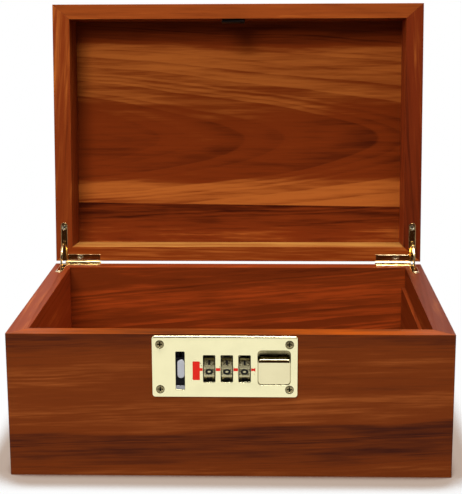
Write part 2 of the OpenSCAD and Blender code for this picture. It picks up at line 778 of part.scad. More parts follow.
// Upright plates between lock plate and cover that hold the axle
module axle_bracket(x) {
    slab_x(x, bracket_t) difference() {
        block2(front_y, cover_y, lock_z - case_h / 2 + case_t, lock_z + case_h / 2 - case_t);
        translate([axle_y, axle_z]) circle(axle_r);
        children();
    }
}
module axle_bracket_left() { color(steel) axle_bracket(bracket_left_x); }
module axle_bracket_right() {
    color(steel) axle_bracket(bracket_right_x) {
        block2(bolt_y - bolt_fit, bolt_back_y + bolt_fit, bolt_arm_z - slot_fit,
            bolt_arm_z + bolt_arm_h + slot_fit);
        block2(axle_y - fence_bar_w / 2 - bolt_fit, axle_y + fence_bar_w / 2 + bolt_fit,
            fence_z - slot_fit, fence_top_z + slot_fit);
    }
}

// Ten-sided dial, with one flat face to the front
module dial(i) {
    color(aged_brass) slab_x(dial_mid(i) - dial_w / 2, dial_w) translate([axle_y, axle_z]) difference() {
        rotate(180 / dial_faces) circle(dial_r, $fn = dial_faces);
        circle(sleeve_r);
    }
}
module dial_one() { dial(0); }
module dial_two() { dial(1); }
module dial_three() { dial(2); }

// Sleeve inside a dial; its flange has the gate that lets a fin of the fence bar pass
module dial_sleeve(i) {
    color(brass) difference() {
        union() {
            slab_x(dial_mid(i) + flange_x_off, dial_w / 2 - flange_x_off)
                translate([axle_y, axle_z]) circle(sleeve_r);
            slab_x(dial_mid(i) + flange_x_off, flange_t) translate([axle_y, axle_z]) circle(flange_r);
        }
        slab_x(dial_mid(i) + flange_x_off - cut, dial_w / 2 - flange_x_off + 2 * cut)
            translate([axle_y, axle_z]) circle(axle_r + axle_fit);
        slab_x(dial_mid(i) + flange_x_off - cut, flange_t + cut)
            block2(axle_y - gate_w / 2, axle_y + gate_w / 2, axle_z - flange_r - cut, axle_z - gate_r);
    }
}
module dial_sleeve_one() { dial_sleeve(0); }
module dial_sleeve_two() { dial_sleeve(1); }
module dial_sleeve_three() { dial_sleeve(2); }

// Leaf spring on the cover, with a finger behind each dial
module dial_click_spring() {
    foot_h = 4;
    foot_y = cover_y - click_spring_t;
    foot_z = axle_z - dial_r - fence_gap;
    bend_z = axle_z - 2;
    tip_z = axle_z + 5;
    finger_w = 5;
    finger_y = click_spring_y + click_spring_t;
    color(steel) {
        slab_x(dial_mid(0) - dial_w / 2, 2 * dial_pitch + dial_w)
            block2(foot_y, cover_y, foot_z, foot_z + foot_h);
        for (i = [0:2]) slab_x(dial_mid(i) - finger_w / 2, finger_w)
            polygon([[foot_y, foot_z], [cover_y, foot_z], [cover_y, foot_z + foot_h], [finger_y, bend_z],
                [finger_y, tip_z], [click_spring_y, tip_z], [click_spring_y, bend_z],
                [foot_y, foot_z + foot_h]]);
    }
}

// Black channel behind the slot: solid low down, hollow where the slide runs
module code_slot_channel() {
    hollow_x = code_plate_w / 2 + code_fit;
    hollow_z0 = knob_z - code_plate_h / 2 - code_fit;
    hollow_z1 = hollow_z0 + code_plate_h + code_travel + 2 * code_fit;
    web_room_x = code_web_t / 2 + code_fit;
    web_room_z = code_web_h / 2 + 2 * code_fit;
    color(black_plastic) difference() {
        slab_y(front_y, channel_d + code_floor_t) block2(code_x - hollow_x - channel_wall,
            code_x + hollow_x + channel_wall, code_mid_z - code_slot_h / 2 - channel_wall,
            hollow_z1 + channel_wall);
        slab_y(front_y - cut, channel_d + cut)
            block2(code_x - hollow_x, code_x + hollow_x, hollow_z0, hollow_z1);
        slab_y(front_y, channel_d + code_floor_t + cut) block2(code_x - web_room_x, code_x + web_room_x,
            knob_z - web_room_z, knob_z + web_room_z + code_travel);
    }
}

module code_slot_clip() {
    clip_w = code_slot_w - 2 * slot_fit;
    clip_z = code_mid_z - code_slot_h / 2 + slot_fit;
    clip_t = plate_t - 0.4;
    color(steel) slab_y(front_y - clip_t, clip_t)
        round_rect(code_x, clip_z + code_clip_h / 2, clip_w, code_clip_h, opening_corner_r);
}

// Knob, guide plate, and a web whose fork straddles the end of the dial axle
module code_change_slide() {
    knob_y = plate_face_y + knob_set_in;
    guide_y = front_y + code_fit;
    web_front_y = code_floor_y + code_floor_t + code_fit;
    web_back_y = axle_y + axle_r + fork_wall;
    web_top_z = knob_z + code_web_h / 2;
    color(grey_plastic) {
        slab_y(knob_y, guide_y + code_plate_t / 2 - knob_y)
            round_rect(code_x, knob_z, code_knob_w, code_knob_h, code_knob_w / 2 - slot_fit);
        slab_y(guide_y, code_plate_t) block2(code_x - code_plate_w / 2, code_x + code_plate_w / 2,
            knob_z - code_plate_h / 2, knob_z + code_plate_h / 2);
        slab_x(code_x - code_web_t / 2, code_web_t) difference() {
            union() {
                block2(guide_y + code_plate_t / 2, web_back_y, knob_z - code_web_h / 2, web_top_z);
                block2(web_front_y, web_back_y, axle_z - code_travel - axle_r - fork_wall, web_top_z);
            }
            round_slot([axle_y, axle_z], [axle_y, axle_z - code_travel], axle_r + slot_fit);
        }
    }
}

// Cup that closes the lock behind the thumb slide
module thumb_cup() {
    mid_z = thumb_z0 + thumb_open_h / 2;
    color(aged_brass) difference() {
        slab_y(front_y, cup_d) round_rect(thumb_mid_x, mid_z, cup_in_w + 2 * cup_t,
            thumb_open_h + 2 * cup_t, cup_corner_r + cup_t);
        slab_y(front_y - cut, cup_d - cup_t + cut)
            round_rect(thumb_mid_x, mid_z, cup_in_w, thumb_open_h, cup_corner_r);
        slab_y(front_y, cup_d + cut) round_slot([thumb_mid_x, drive_z],
            [thumb_mid_x, drive_z + thumb_travel], drive_pin_r + thumb_fit);
    }
}

// Thumb slide: flat face, a roll into the cup along its top, and guide flanges behind the plate
module thumb_slide() {
    roll_y = slide_y + thumb_roll_r;
    face_top_z = slide_z0 + thumb_face_h;
    flange_y = front_y + thumb_fit;
    color(pale_brass) difference() {
        union() {
            intersection() {
                slab_x(thumb_mid_x - slide_w / 2, slide_w) {
                    block2(slide_y, slide_back_y, slide_z0, face_top_z);
                    block2(roll_y, slide_back_y, face_top_z - cut, lip_z);
                    translate([roll_y, face_top_z]) circle(thumb_roll_r);
                }
                slab_y(slide_y - cut, thumb_slide_d + 2 * cut)
                    round_rect(thumb_mid_x, (slide_z0 + lip_z) / 2, slide_w, lip_z - slide_z0,
                        thumb_corner_r - thumb_fit);
            }
            slab_y(flange_y, slide_back_y - flange_y) block2(thumb_mid_x - slide_flange_w / 2,
                thumb_mid_x + slide_flange_w / 2, slide_z0, face_top_z);
        }
        slab_y(slide_back_y - pin_seat_d, pin_seat_d + cut)
            translate([thumb_mid_x, drive_z]) circle(drive_pin_r);
    }
}

// Pin riveted into the thumb slide; it works in the sloping slot of the bolt
module drive_pin() {
    color(steel) slab_y(slide_back_y - pin_seat_d, bolt_back_y + bolt_fit - slide_back_y + pin_seat_d)
        translate([thumb_mid_x, drive_z]) circle(drive_pin_r);
}

// Bowed strip on the back of the cup that holds the thumb slide where it is left
module thumb_click_spring() {
    strip_t = 0.4;
    strip_w = 4;
    strip_h = 18;
    flat_h = 4;
    side_in = 1.5;
    y0 = front_y + cup_d - cup_t;
    z0 = slide_z0 + 1;
    crest_y = slide_back_y + click_gap + strip_t;
    back = [[y0, z0], [y0, z0 + flat_h], [crest_y, z0 + strip_h / 2], [y0, z0 + strip_h - flat_h],
        [y0, z0 + strip_h]];
    front = [for (i = [4:-1:0]) back[i] - [strip_t, 0]];
    color(steel) slab_x(thumb_mid_x - slide_w / 2 + side_in, strip_w) polygon(concat(back, front));
}

// Bolt: the thumb slide draws it sideways into the notch of the hasp
module bolt() {
    slot_end = [thumb_mid_x + bolt_travel, drive_z + thumb_travel];
    color(steel) slab_y(bolt_y, bolt_t) difference() {
        union() {
            block2(bolt_tip_x, bolt_left_x + bolt_leg_w, bolt_arm_z, bolt_arm_z + bolt_arm_h);
            block2(bolt_left_x, slot_end[0] + slot_out, drive_z - slot_out, bolt_arm_z + bolt_lap);
            block2(bolt_left_x, bolt_left_x + bolt_leg_w, fence_z, drive_z);
        }
        round_slot([thumb_mid_x, drive_z], slot_end, drive_pin_r + slot_fit);
        round_slot([stud_x, stud_z], [stud_x + bolt_travel, stud_z], stud_pin_r + slot_fit);
    }
}

// Shouldered stud on the cover that guides the bolt
module bolt_guide_stud() {
    pin_y0 = bolt_y - bolt_fit;
    seat_y = bolt_back_y + bolt_fit;
    color(steel) {
        slab_y(seat_y, cover_y - seat_y) translate([stud_x, stud_z]) circle(stud_head_r);
        slab_y(pin_y0 - stud_head_t / 2, seat_y - pin_y0 + stud_head_t)
            translate([stud_x, stud_z]) circle(stud_pin_r);
        slab_y(pin_y0 - stud_head_t, stud_head_t) translate([stud_x, stud_z]) circle(stud_head_r);
    }
}

// Bar under the dials, carried by the bolt; its fins pass the gates only when all three line up
module fence_bar() {
    bar_x0 = dial_mid(0) + fin_x_off;
    bar_x1 = bolt_left_x + bolt_leg_w;
    color(steel) {
        translate([bar_x0, axle_y - fence_bar_w / 2, fence_z])
            cube([bar_x1 - bar_x0, fence_bar_w, fence_bar_w]);
        translate([bolt_left_x, axle_y - fence_bar_w / 2, fence_z])
            cube([bolt_leg_w, bolt_y - axle_y + fence_bar_w / 2, fence_bar_w]);
        for (i = [0:2]) translate([dial_mid(i) + fin_x_off, axle_y - fin_w / 2, fence_z])
            cube([fin_t, fin_w, axle_z - gate_r - gate_fit - fence_z]);
    }
}

module at_hasp_screws() {
    for (sx = [-1, 1]) translate([plate_x + sx * hasp_w / 4, -lid_inner_d / 2, lid_rim_z + hasp_screw_up])
        rotate([90, 0, 0]) children();
}

// Hasp on the lid: a stepped plate with a notch in its right edge for the bolt
module hasp() {
    step_z = lid_rim_z + 4;
    step_end_z = lid_rim_z + 1;
    top_z = lid_rim_z + hasp_up;
    y0 = -lid_inner_d / 2;
    color(steel) swung_open() difference() {
        slab_x(plate_x - hasp_w / 2, hasp_w) polygon([[y0, top_z], [y0, step_z], [hasp_y, step_end_z],
            [hasp_y, hasp_tip_z], [hasp_y + hasp_t, hasp_tip_z], [hasp_y + hasp_t, step_end_z],
            [y0 + hasp_t, step_z], [y0 + hasp_t, top_z]]);
        translate([hasp_right_x - bolt_travel - bolt_fit, hasp_y - cut, bolt_arm_z - bolt_fit])
            cube([bolt_travel + bolt_fit + cut, hasp_t + 2 * cut, bolt_arm_h + 2 * bolt_fit]);
        at_hasp_screws() translate([0, 0, -hasp_t - cut])
            cylinder(h = hasp_t + 2 * cut, r = small_screw_r + screw_fit);
    }
}

module hasp_screws() {
    color(steel) swung_open() at_hasp_screws() translate([0, 0, -hasp_t]) mirror([0, 0, 1])
        flat_head_screw(small_screw_head_r, small_screw_head_h, small_screw_r, small_screw_len);
}

base_front_wall();
base_rear_wall();
base_left_wall();
base_right_wall();
base_floor();
right_liner();
lid_front_rail();
lid_rear_rail();
lid_left_rail();
lid_right_rail();
lid_wide_board();
lid_narrow_board();
base_leaf_left();
base_leaf_right();
lid_leaf_left();
lid_leaf_right();
hinge_pin_left();
hinge_pin_right();
stop_arm_left();
stop_arm_right();
base_leaf_screws();
lid_leaf_screws();
lock_plate();
plate_screws();
index_inlay();
lock_case();
back_cover();
cover_screws();
dial_axle();
axle_bracket_left();
axle_bracket_right();
dial_one();
dial_two();
dial_three();
dial_sleeve_one();
dial_sleeve_two();
dial_sleeve_three();
dial_click_spring();
code_slot_channel();
code_slot_clip();
code_change_slide();
thumb_cup();
thumb_slide();
thumb_click_spring();
drive_pin();
bolt();
bolt_guide_stud();
fence_bar();
hasp();
hasp_screws();
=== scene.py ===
import bmesh
import bpy
import math
import numpy as np
from mathutils import Matrix, Vector
from mathutils.geometry import delaunay_2d_cdt


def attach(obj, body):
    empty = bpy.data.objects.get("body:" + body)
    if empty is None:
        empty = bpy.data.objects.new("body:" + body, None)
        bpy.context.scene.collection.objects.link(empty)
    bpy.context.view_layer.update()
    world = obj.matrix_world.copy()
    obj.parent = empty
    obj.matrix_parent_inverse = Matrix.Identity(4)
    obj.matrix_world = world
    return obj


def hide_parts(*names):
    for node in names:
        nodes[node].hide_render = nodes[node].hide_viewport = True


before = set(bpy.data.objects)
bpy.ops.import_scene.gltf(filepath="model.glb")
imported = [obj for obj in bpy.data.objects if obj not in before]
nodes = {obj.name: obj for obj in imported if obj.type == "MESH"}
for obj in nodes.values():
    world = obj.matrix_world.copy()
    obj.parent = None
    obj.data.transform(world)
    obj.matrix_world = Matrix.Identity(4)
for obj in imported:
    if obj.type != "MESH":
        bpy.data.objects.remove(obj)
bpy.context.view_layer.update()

# Viewpoint: a long lens about 0.9 m in front of the lock and 3 cm above the top of the open lid,
# looking slightly down at the rim of the base. The picture is taller than wide, so the sensor's
# 36 mm span its height.


def add_object(name, data):
    """A new object in the scene, untransformed."""
    made = bpy.data.objects.new(name, data)
    bpy.context.scene.collection.objects.link(made)
    return made


eye = Vector((0.03036, -1.02097, 0.37141))
pitch, yaw, roll = math.radians(12.206), math.radians(-1.823), math.radians(-0.281)
focal_pixels, picture_height, sensor_size = 1287.73, 494, 36
ahead = Vector((math.sin(yaw) * math.cos(pitch), math.cos(yaw) * math.cos(pitch), -math.sin(pitch)))
level = Vector((math.cos(yaw), -math.sin(yaw), 0))
upward = level.cross(ahead)
right = level * math.cos(roll) + upward * math.sin(roll)
top = upward * math.cos(roll) - level * math.sin(roll)
lens = bpy.data.cameras.new("viewpoint")
lens.sensor_width, lens.lens = sensor_size, focal_pixels * sensor_size / picture_height
lens.clip_start, lens.clip_end = 0.05, 50
viewpoint = add_object("viewpoint", lens)
viewpoint.matrix_world = Matrix((
    (right.x, top.x, -ahead.x, eye.x), (right.y, top.y, -ahead.y, eye.y),
    (right.z, top.z, -ahead.z, eye.z), (0, 0, 0, 1)))
bpy.context.scene.camera = viewpoint

# Base walls: four boards of reddish hardwood, 15 mm thick, mitred and glued at the corners and
# finished in satin lacquer. Each board is cut from its own plank, so each has its own figure. Some
# faces are paler or darker than the rest: painted light and painted shade, by how light falls on them.


def feed(tree, socket, value):
    """Gives a socket a fixed value, or a link where the value is another socket."""
    if isinstance(value, bpy.types.NodeSocket):
        tree.links.new(value, socket)
    else:
        socket.default_value = value


def wire(tree, kind, sockets=(), **settings):
    """One shader node: settings go on the node, and each socket is fed with its value or link."""
    made = tree.nodes.new(kind)
    for name, value in settings.items():
        setattr(made, name, value)
    for name, value in dict(sockets).items():
        feed(tree, made.inputs[name], value)
    return made


def reckon(tree, rule, *values, clamp=False):
    """Result of one Math node."""
    return wire(tree, "ShaderNodeMath", enumerate(values), operation=rule, use_clamp=clamp).outputs[0]


def centred(tree, value, size):
    """A noise value from 0 to 1, moved to run evenly about zero and scaled."""
    return reckon(tree, "MULTIPLY", reckon(tree, "SUBTRACT", value, 0.5), size)


def blend_colour(tree, share, first, second, way="MIX"):
    """Colour between two others, by a share from 0 to 1."""
    mixer = wire(tree, "ShaderNodeMix", {0: share}, data_type="RGBA", blend_type=way)
    feed(tree, mixer.inputs[6], first)
    feed(tree, mixer.inputs[7], second)
    return mixer.outputs[2]


def ease(tree, value, low, high, out_low=0.0, out_high=1.0):
    """Smooth step of a value between two limits."""
    return wire(tree, "ShaderNodeMapRange", {0: value, 1: low, 2: high, 3: out_low, 4: out_high},
                interpolation_type="SMOOTHSTEP").outputs[0]


def vector_math(tree, first, second, rule="MULTIPLY"):
    """Result of one Vector Math node: a vector, or the number of a dot product."""
    made = wire(tree, "ShaderNodeVectorMath", {0: first, 1: second}, operation=rule)
    return made.outputs["Value" if rule == "DOT_PRODUCT" else "Vector"]


def group_of(name, inputs, outputs):
    """Empty node group with named sockets; inputs give name, kind and value."""
    tree = bpy.data.node_groups.new(name, "ShaderNodeTree")
    for label, kind, value in inputs:
        socket = tree.interface.new_socket(label, in_out="INPUT", socket_type="NodeSocket" + kind)
        if value is not None:
            socket.default_value = value
    for label, kind in outputs:
        tree.interface.new_socket(label, in_out="OUTPUT", socket_type="NodeSocket" + kind)
    return tree, tree.nodes.new("NodeGroupInput").outputs, tree.nodes.new("NodeGroupOutput").inputs


def fresh_material(name):
    """A new material, its node tree and its shader."""
    material = bpy.data.materials.new(name)
    material.use_nodes = True
    return material, material.node_tree, material.node_tree.nodes["Principled BSDF"]


def build_board_figure():
    """Figure of a sawn board. The board is a slice of a trunk: a point's distance from the trunk's
    centre line, divided by the ring width, is its ring count, and the late wood darkens the end of
    each ring. A lean of the centre line along the board opens the rings into pointed arches. Long
    thin noise adds fibres, and broad noise the drift of colour."""
    tree, given, put = group_of("board_figure", [
        ("Vector", "Vector", None), ("Tone", "Float", 0.0), ("Seed", "Float", 0.0),
        ("Ring Width", "Float", 0.006), ("Centre Across", "Float", 0.0), ("Centre Depth", "Float", 0.05),
        ("Lean", "Float", 0.03), ("Ring Depth", "Float", 0.3), ("Fibre Depth", "Float", 0.8),
        ("Drift Depth", "Float", 0.4), ("Dark", "Color", (0.045, 0.006, 0.002, 1)),
        ("Middle", "Color", (0.17, 0.026, 0.0045, 1)), ("Pale", "Color", (0.42, 0.11, 0.018, 1))],
        [("Color", "Color"), ("Roughness", "Float"), ("Height", "Float")])

    def noise(scale, detail=2.0, roughness=0.5, shift=0.0):
        place, seed = vector_math(tree, given["Vector"], scale), reckon(tree, "ADD", given["Seed"], shift)
        return wire(tree, "ShaderNodeTexNoise", {"Vector": place, "W": seed, "Scale": 1.0, "Detail": detail,
                    "Roughness": roughness}, noise_dimensions="4D").outputs["Fac"]

    part = wire(tree, "ShaderNodeSeparateXYZ", {0: given["Vector"]}).outputs
    bend = reckon(tree, "ADD", centred(tree, noise((4, 14, 14), 1), 0.022),
                  centred(tree, noise((20, 60, 60), 2, 0.5, 4), 0.0035))
    across = reckon(tree, "ADD", reckon(tree, "SUBTRACT", part[1], given["Centre Across"]), bend)
    lean = reckon(tree, "MULTIPLY", part[0], given["Lean"])
    depth = reckon(tree, "ADD", reckon(tree, "SUBTRACT", part[2], given["Centre Depth"]), lean)
    radius = reckon(tree, "SQRT", reckon(tree, "ADD", reckon(tree, "MULTIPLY", across, across),
                                         reckon(tree, "MULTIPLY", depth, depth)))
    count = reckon(tree, "DIVIDE", radius, given["Ring Width"])
    uneven = wire(tree, "ShaderNodeTexNoise", {"W": reckon(tree, "MULTIPLY", count, 0.45), "Scale": 1.0,
                  "Detail": 1.0}, noise_dimensions="1D").outputs["Fac"]
    count = reckon(tree, "ADD", count, centred(tree, uneven, 3.2))
    within = reckon(tree, "FRACT", count)
    late = reckon(tree, "MULTIPLY", ease(tree, within, 0.25, 0.86), ease(tree, within, 0.86, 1.0, 1.0, 0.0))
    power = wire(tree, "ShaderNodeTexWhiteNoise", {"W": reckon(tree, "FLOOR", count)},
                 noise_dimensions="1D").outputs["Value"]
    late = reckon(tree, "MULTIPLY", late, ease(tree, power, 0.0, 1.0, 0.25, 1.0))
    fibre = reckon(tree, "ADD", centred(tree, noise((15, 230, 230), 3, 0.6, 9), 1.5),
                   centred(tree, noise((30, 1100, 1100), 2, 0.5, 15), 0.6))
    drift = centred(tree, noise((4, 38, 38), 3, 0.55, 21), 2.2)
    tone = reckon(tree, "ADD", given["Tone"], reckon(tree, "MULTIPLY", fibre, given["Fibre Depth"]))
    tone = reckon(tree, "ADD", tone, reckon(tree, "MULTIPLY", drift, given["Drift Depth"]))
    tone = reckon(tree, "SUBTRACT", tone, reckon(tree, "MULTIPLY", late, given["Ring Depth"]))
    lower = blend_colour(tree, ease(tree, tone, -0.75, 0.05), given["Dark"], given["Middle"])
    colour = blend_colour(tree, ease(tree, tone, 0.05, 0.75), lower, given["Pale"])
    pore_grain = noise((160, 5200, 5200), 1, 0.4, 33)
    pore = reckon(tree, "MULTIPLY", ease(tree, pore_grain, 0.66, 0.78), 0.35)
    hollow = reckon(tree, "ADD", reckon(tree, "MULTIPLY", pore, 1.2), reckon(tree, "MULTIPLY", late, 0.15))
    feed(tree, put["Color"], blend_colour(tree, pore, colour, given["Dark"]))
    feed(tree, put["Roughness"], reckon(tree, "ADD", 0.46, reckon(tree, "MULTIPLY", late, 0.08)))
    feed(tree, put["Height"], reckon(tree, "SUBTRACT", reckon(tree, "MULTIPLY", fibre, 0.4), hollow))
    return tree


board_figure = build_board_figure()


def lacquered_board(name, along, across, origin=(0, 0, 0), bands=(), planed=(), edge=0.0007, **figure):
    """Lacquered wood for one board. The pattern's own axes are the grain direction, the direction
    across the board's face and their cross product. Bands are (place across the board, tone) pairs,
    and their limits sway with the grain. Face light gives the direction of a face and what its colour
    is multiplied by: painted light or painted shade on that face. The figure's values go to its group."""
    material, tree, shader = fresh_material(name)
    surface = wire(tree, "ShaderNodeTexCoord").outputs
    place = vector_math(tree, surface["Object"], origin, "SUBTRACT")
    along, across = Vector(along).normalized(), Vector(across).normalized()
    parts = [vector_math(tree, place, axis, "DOT_PRODUCT") for axis in (along, across, along.cross(across))]
    grain = wire(tree, "ShaderNodeCombineXYZ", enumerate(parts)).outputs[0]
    sockets = {"Vector": grain}
    for key, value in figure.items():
        sockets[key.replace("_", " ").title()] = (*value, 1) if isinstance(value, tuple) else value
    if bands:
        low, high, sway_width = bands[0][0], bands[-1][0], 0.022
        sway = wire(tree, "ShaderNodeTexNoise", {"Vector": vector_math(tree, grain, (6, 30, 30)),
                    "Scale": 1.0, "Detail": 2.0}).outputs["Fac"]
        swayed = reckon(tree, "ADD", parts[1], centred(tree, sway, sway_width))
        share = wire(tree, "ShaderNodeMapRange", {0: swayed, 1: low, 2: high}).outputs[0]
        ramp = wire(tree, "ShaderNodeValToRGB", {0: share})
        ramp.color_ramp.interpolation = "EASE"
        stops = ramp.color_ramp.elements
        while len(stops) < len(bands):
            stops.new(0.5)
        for stop, (at, tone) in zip(stops, bands):
            stop.position = (at - low) / (high - low)
            stop.color = (tone + 0.5,) * 3 + (1,)
        sockets["Tone"] = reckon(tree, "SUBTRACT", ramp.outputs[0], 0.5)
    board = wire(tree, "ShaderNodeGroup", sockets, node_tree=board_figure).outputs
    eased = wire(tree, "ShaderNodeBevel", {"Radius": edge}, samples=4)
    bump = wire(tree, "ShaderNodeBump", {"Height": board["Height"], "Strength": 0.25, "Distance": 0.0003,
                "Normal": eased.outputs[0]})
    colour = board["Color"]
    # Face light: the colour of faces that point one way is multiplied, as painted light or painted shade.
    if planed:
        faced = vector_math(tree, surface["Normal"], planed[0], "DOT_PRODUCT")
        painted_face_light = blend_colour(tree, 1.0, colour, (*planed[1], 1), "MULTIPLY")
        colour = blend_colour(tree, ease(tree, faced, 0.5, 0.9), colour, painted_face_light)
    for key, value in (("Base Color", colour), ("Roughness", board["Roughness"]), ("Normal", bump.outputs[0]),
                       ("Specular IOR Level", 0.07), ("Specular Tint", (1.0, 0.5, 0.2, 1))):
        feed(tree, shader.inputs[key], value)
    return material


def finish_node(name, material):
    """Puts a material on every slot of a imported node."""
    for slot in nodes[name].material_slots:
        slot.material = material


# The top face, the rim, is made paler: painted light from above.
finish_node("base_front_wall", lacquered_board(
    "front_wall_wood", (1, 0, 0.03), (-0.03, 0, 1), planed=((0, 0, 1), (1.75, 1.6, 0.5)), bands=(
        (0, 0.22), (0.005, 0.14), (0.009, -0.10), (0.014, -0.30), (0.020, -0.42), (0.026, -0.36),
        (0.037, -0.46), (0.041, 0.16), (0.055, 0.32), (0.065, 0.0), (0.072, 0.13), (0.085, 0.20),
        (0.093, 0.02), (0.103, -0.20), (0.110, -0.26)), seed=1.0, ring_width=0.004, centre_across=-0.12,
    centre_depth=0.09, lean=0.05, ring_depth=0.2, fibre_depth=0.75, drift_depth=0.45,
    dark=(0.045, 0.010, 0.006), middle=(0.168, 0.032, 0.0062), pale=(0.36, 0.09, 0.018)))
finish_node("base_rear_wall", lacquered_board(
    "rear_wall_wood", (1, 0, 0.06), (-0.06, 0, 1), bands=(
        (0, 0.40), (0.060, 0.42), (0.072, 0.36), (0.084, 0.36), (0.092, 0.28), (0.097, 0.22),
        (0.102, 0.10), (0.110, 0.10)), seed=5.0, centre_across=-0.05, centre_depth=-0.06, lean=0.10,
    ring_depth=0.45, fibre_depth=1.0, drift_depth=0.6, pale=(0.36, 0.052, 0.0075)))
# The inner face is made paler: painted light.
finish_node("base_left_wall", lacquered_board(
    "left_wall_wood", (0, 1, 0), (0, 0, 1), planed=((1, 0, 0), (1.65, 1.35, 1.25)), seed=9.0, tone=0.08,
    centre_across=-0.08, centre_depth=0.03, lean=0.04))
# The top face, the rim, is made darker: painted shade.
finish_node("base_right_wall", lacquered_board(
    "right_wall_wood", (0, 1, 0), (0, 0, 1), planed=((0, 0, 1), (0.60, 0.60, 0.80)), seed=13.0, tone=0.02,
    centre_across=0.16, centre_depth=0.04, lean=-0.05))

# Floor panel: one wide board of the same wood, let into a rebate round the foot of the walls, with its
# grain running from left to right.
finish_node("base_floor", lacquered_board(
    "floor_wood", (1, 0, 0), (0, 1, 0), seed=17.0, ring_width=0.008, centre_across=0.01,
    centre_depth=-0.03, lean=0.12, ring_depth=0.4))

# Side liner: a thin slat of the same wood, standing on the floor and glued against the right wall. Its
# top edge lies 18 mm below the rim and shows as a fine light line.
finish_node("right_liner", lacquered_board(
    "right_liner_wood", (0, 1, 0), (0, 0, 1), seed=33.0, tone=0.05, centre_across=0.16, centre_depth=0.04,
    lean=-0.05, edge=0.0004))

# Lid frame: four mitred rails like the base walls, 50 mm high, standing open at 96 degrees about the
# hinge pins. The grain of the two side rails runs out of their length a little.
pin_line = Vector((0, 0.1167, 0.1103))
turn = Matrix.Rotation(math.radians(-96), 3, "X")
lid_rear, lid_up = turn @ Vector((0, 1, 0)), turn @ Vector((0, 0, 1))
sideways, run_out = Vector((1, 0, 0)), 0.07
for side, along, across, figure in (
        # The rim of the front rail is made paler: painted light.
        ("front", sideways, lid_up, dict(
            seed=37.0, bands=((-0.01, 0.16), (0.06, 0.16)), middle=(0.180, 0.034, 0.006),
            planed=(-lid_up, (1.36, 1.42, 1.35)), centre_across=-0.09, centre_depth=0.25)),
        # The inner face of the rear rail, which faces up while the lid is open, is made paler: painted light
        # from above.
        ("rear", sideways, lid_up, dict(
            seed=41.0, bands=((-0.01, 0.36), (0.06, 0.36)), middle=(0.190, 0.029, 0.004),
            planed=(-lid_rear, (1.5, 2.9, 3.9)), centre_across=-0.09, centre_depth=0.25)),
        ("left", lid_rear - run_out * sideways, -sideways - run_out * lid_rear, dict(
            seed=45.0, bands=((0.148, 0.0), (0.160, 0.12), (0.174, 0.26)), middle=(0.180, 0.028, 0.005),
            centre_across=-0.10, centre_depth=0.08)),
        # The inner face of the right rail is made paler: painted light from the left.
        ("right", lid_rear + run_out * sideways, sideways - run_out * lid_rear, dict(
            seed=49.0, bands=((0.148, -0.30), (0.160, -0.20), (0.174, 0.10)),
            middle=(0.138, 0.018, 0.004), planed=(-sideways, (2.6, 3.2, 3.0)), centre_across=-0.10,
            centre_depth=0.08))):
    finish_node(f"lid_{side}_rail", lacquered_board(
        f"lid_{side}_rail_wood", along, across, origin=pin_line, ring_depth=0.25, **figure))

# Lid top: one wide board and one narrow, edge to edge in the rebates of the rails. The wide board is
# flat sawn, so its rings show as pointed arches between two paler bands.
# The last two bands darken the wide board next to the front rail: a painted shadow of that rail.
finish_node("lid_wide_board", lacquered_board(
    "wide_board_wood", sideways, -lid_rear, origin=pin_line, bands=(
        (0.049, 0.62), (0.066, 0.62), (0.077, 0.10), (0.090, 0.0), (0.100, -0.10), (0.113, -0.08),
        (0.124, 0.02), (0.137, 0.14), (0.150, 0.46), (0.165, 0.60), (0.183, 0.60), (0.194, 0.46),
        (0.201, -0.14), (0.212, -0.22)), seed=53.0, ring_width=0.0045, centre_across=0.112,
    centre_depth=0.02, lean=-0.08, ring_depth=0.26, fibre_depth=0.65, drift_depth=0.45,
    dark=(0.040, 0.005, 0.002), middle=(0.175, 0.026, 0.0042)))
finish_node("lid_narrow_board", lacquered_board(
    "narrow_board_wood", sideways, -lid_rear, origin=pin_line, bands=(
        (0.008, 0.55), (0.014, 0.36), (0.024, 0.26), (0.030, 0.12), (0.036, -0.08), (0.045, -0.32)),
    seed=57.0, ring_width=0.005, centre_across=-0.04, centre_depth=0.08, ring_depth=0.35,
    fibre_depth=1.1, drift_depth=0.6))

# Corner stop hinges: stamped and polished brass leaves, let into the rims and rolled round a pin. A
# curved arm with a cross peg at each end runs in both leaves and stops the lid.


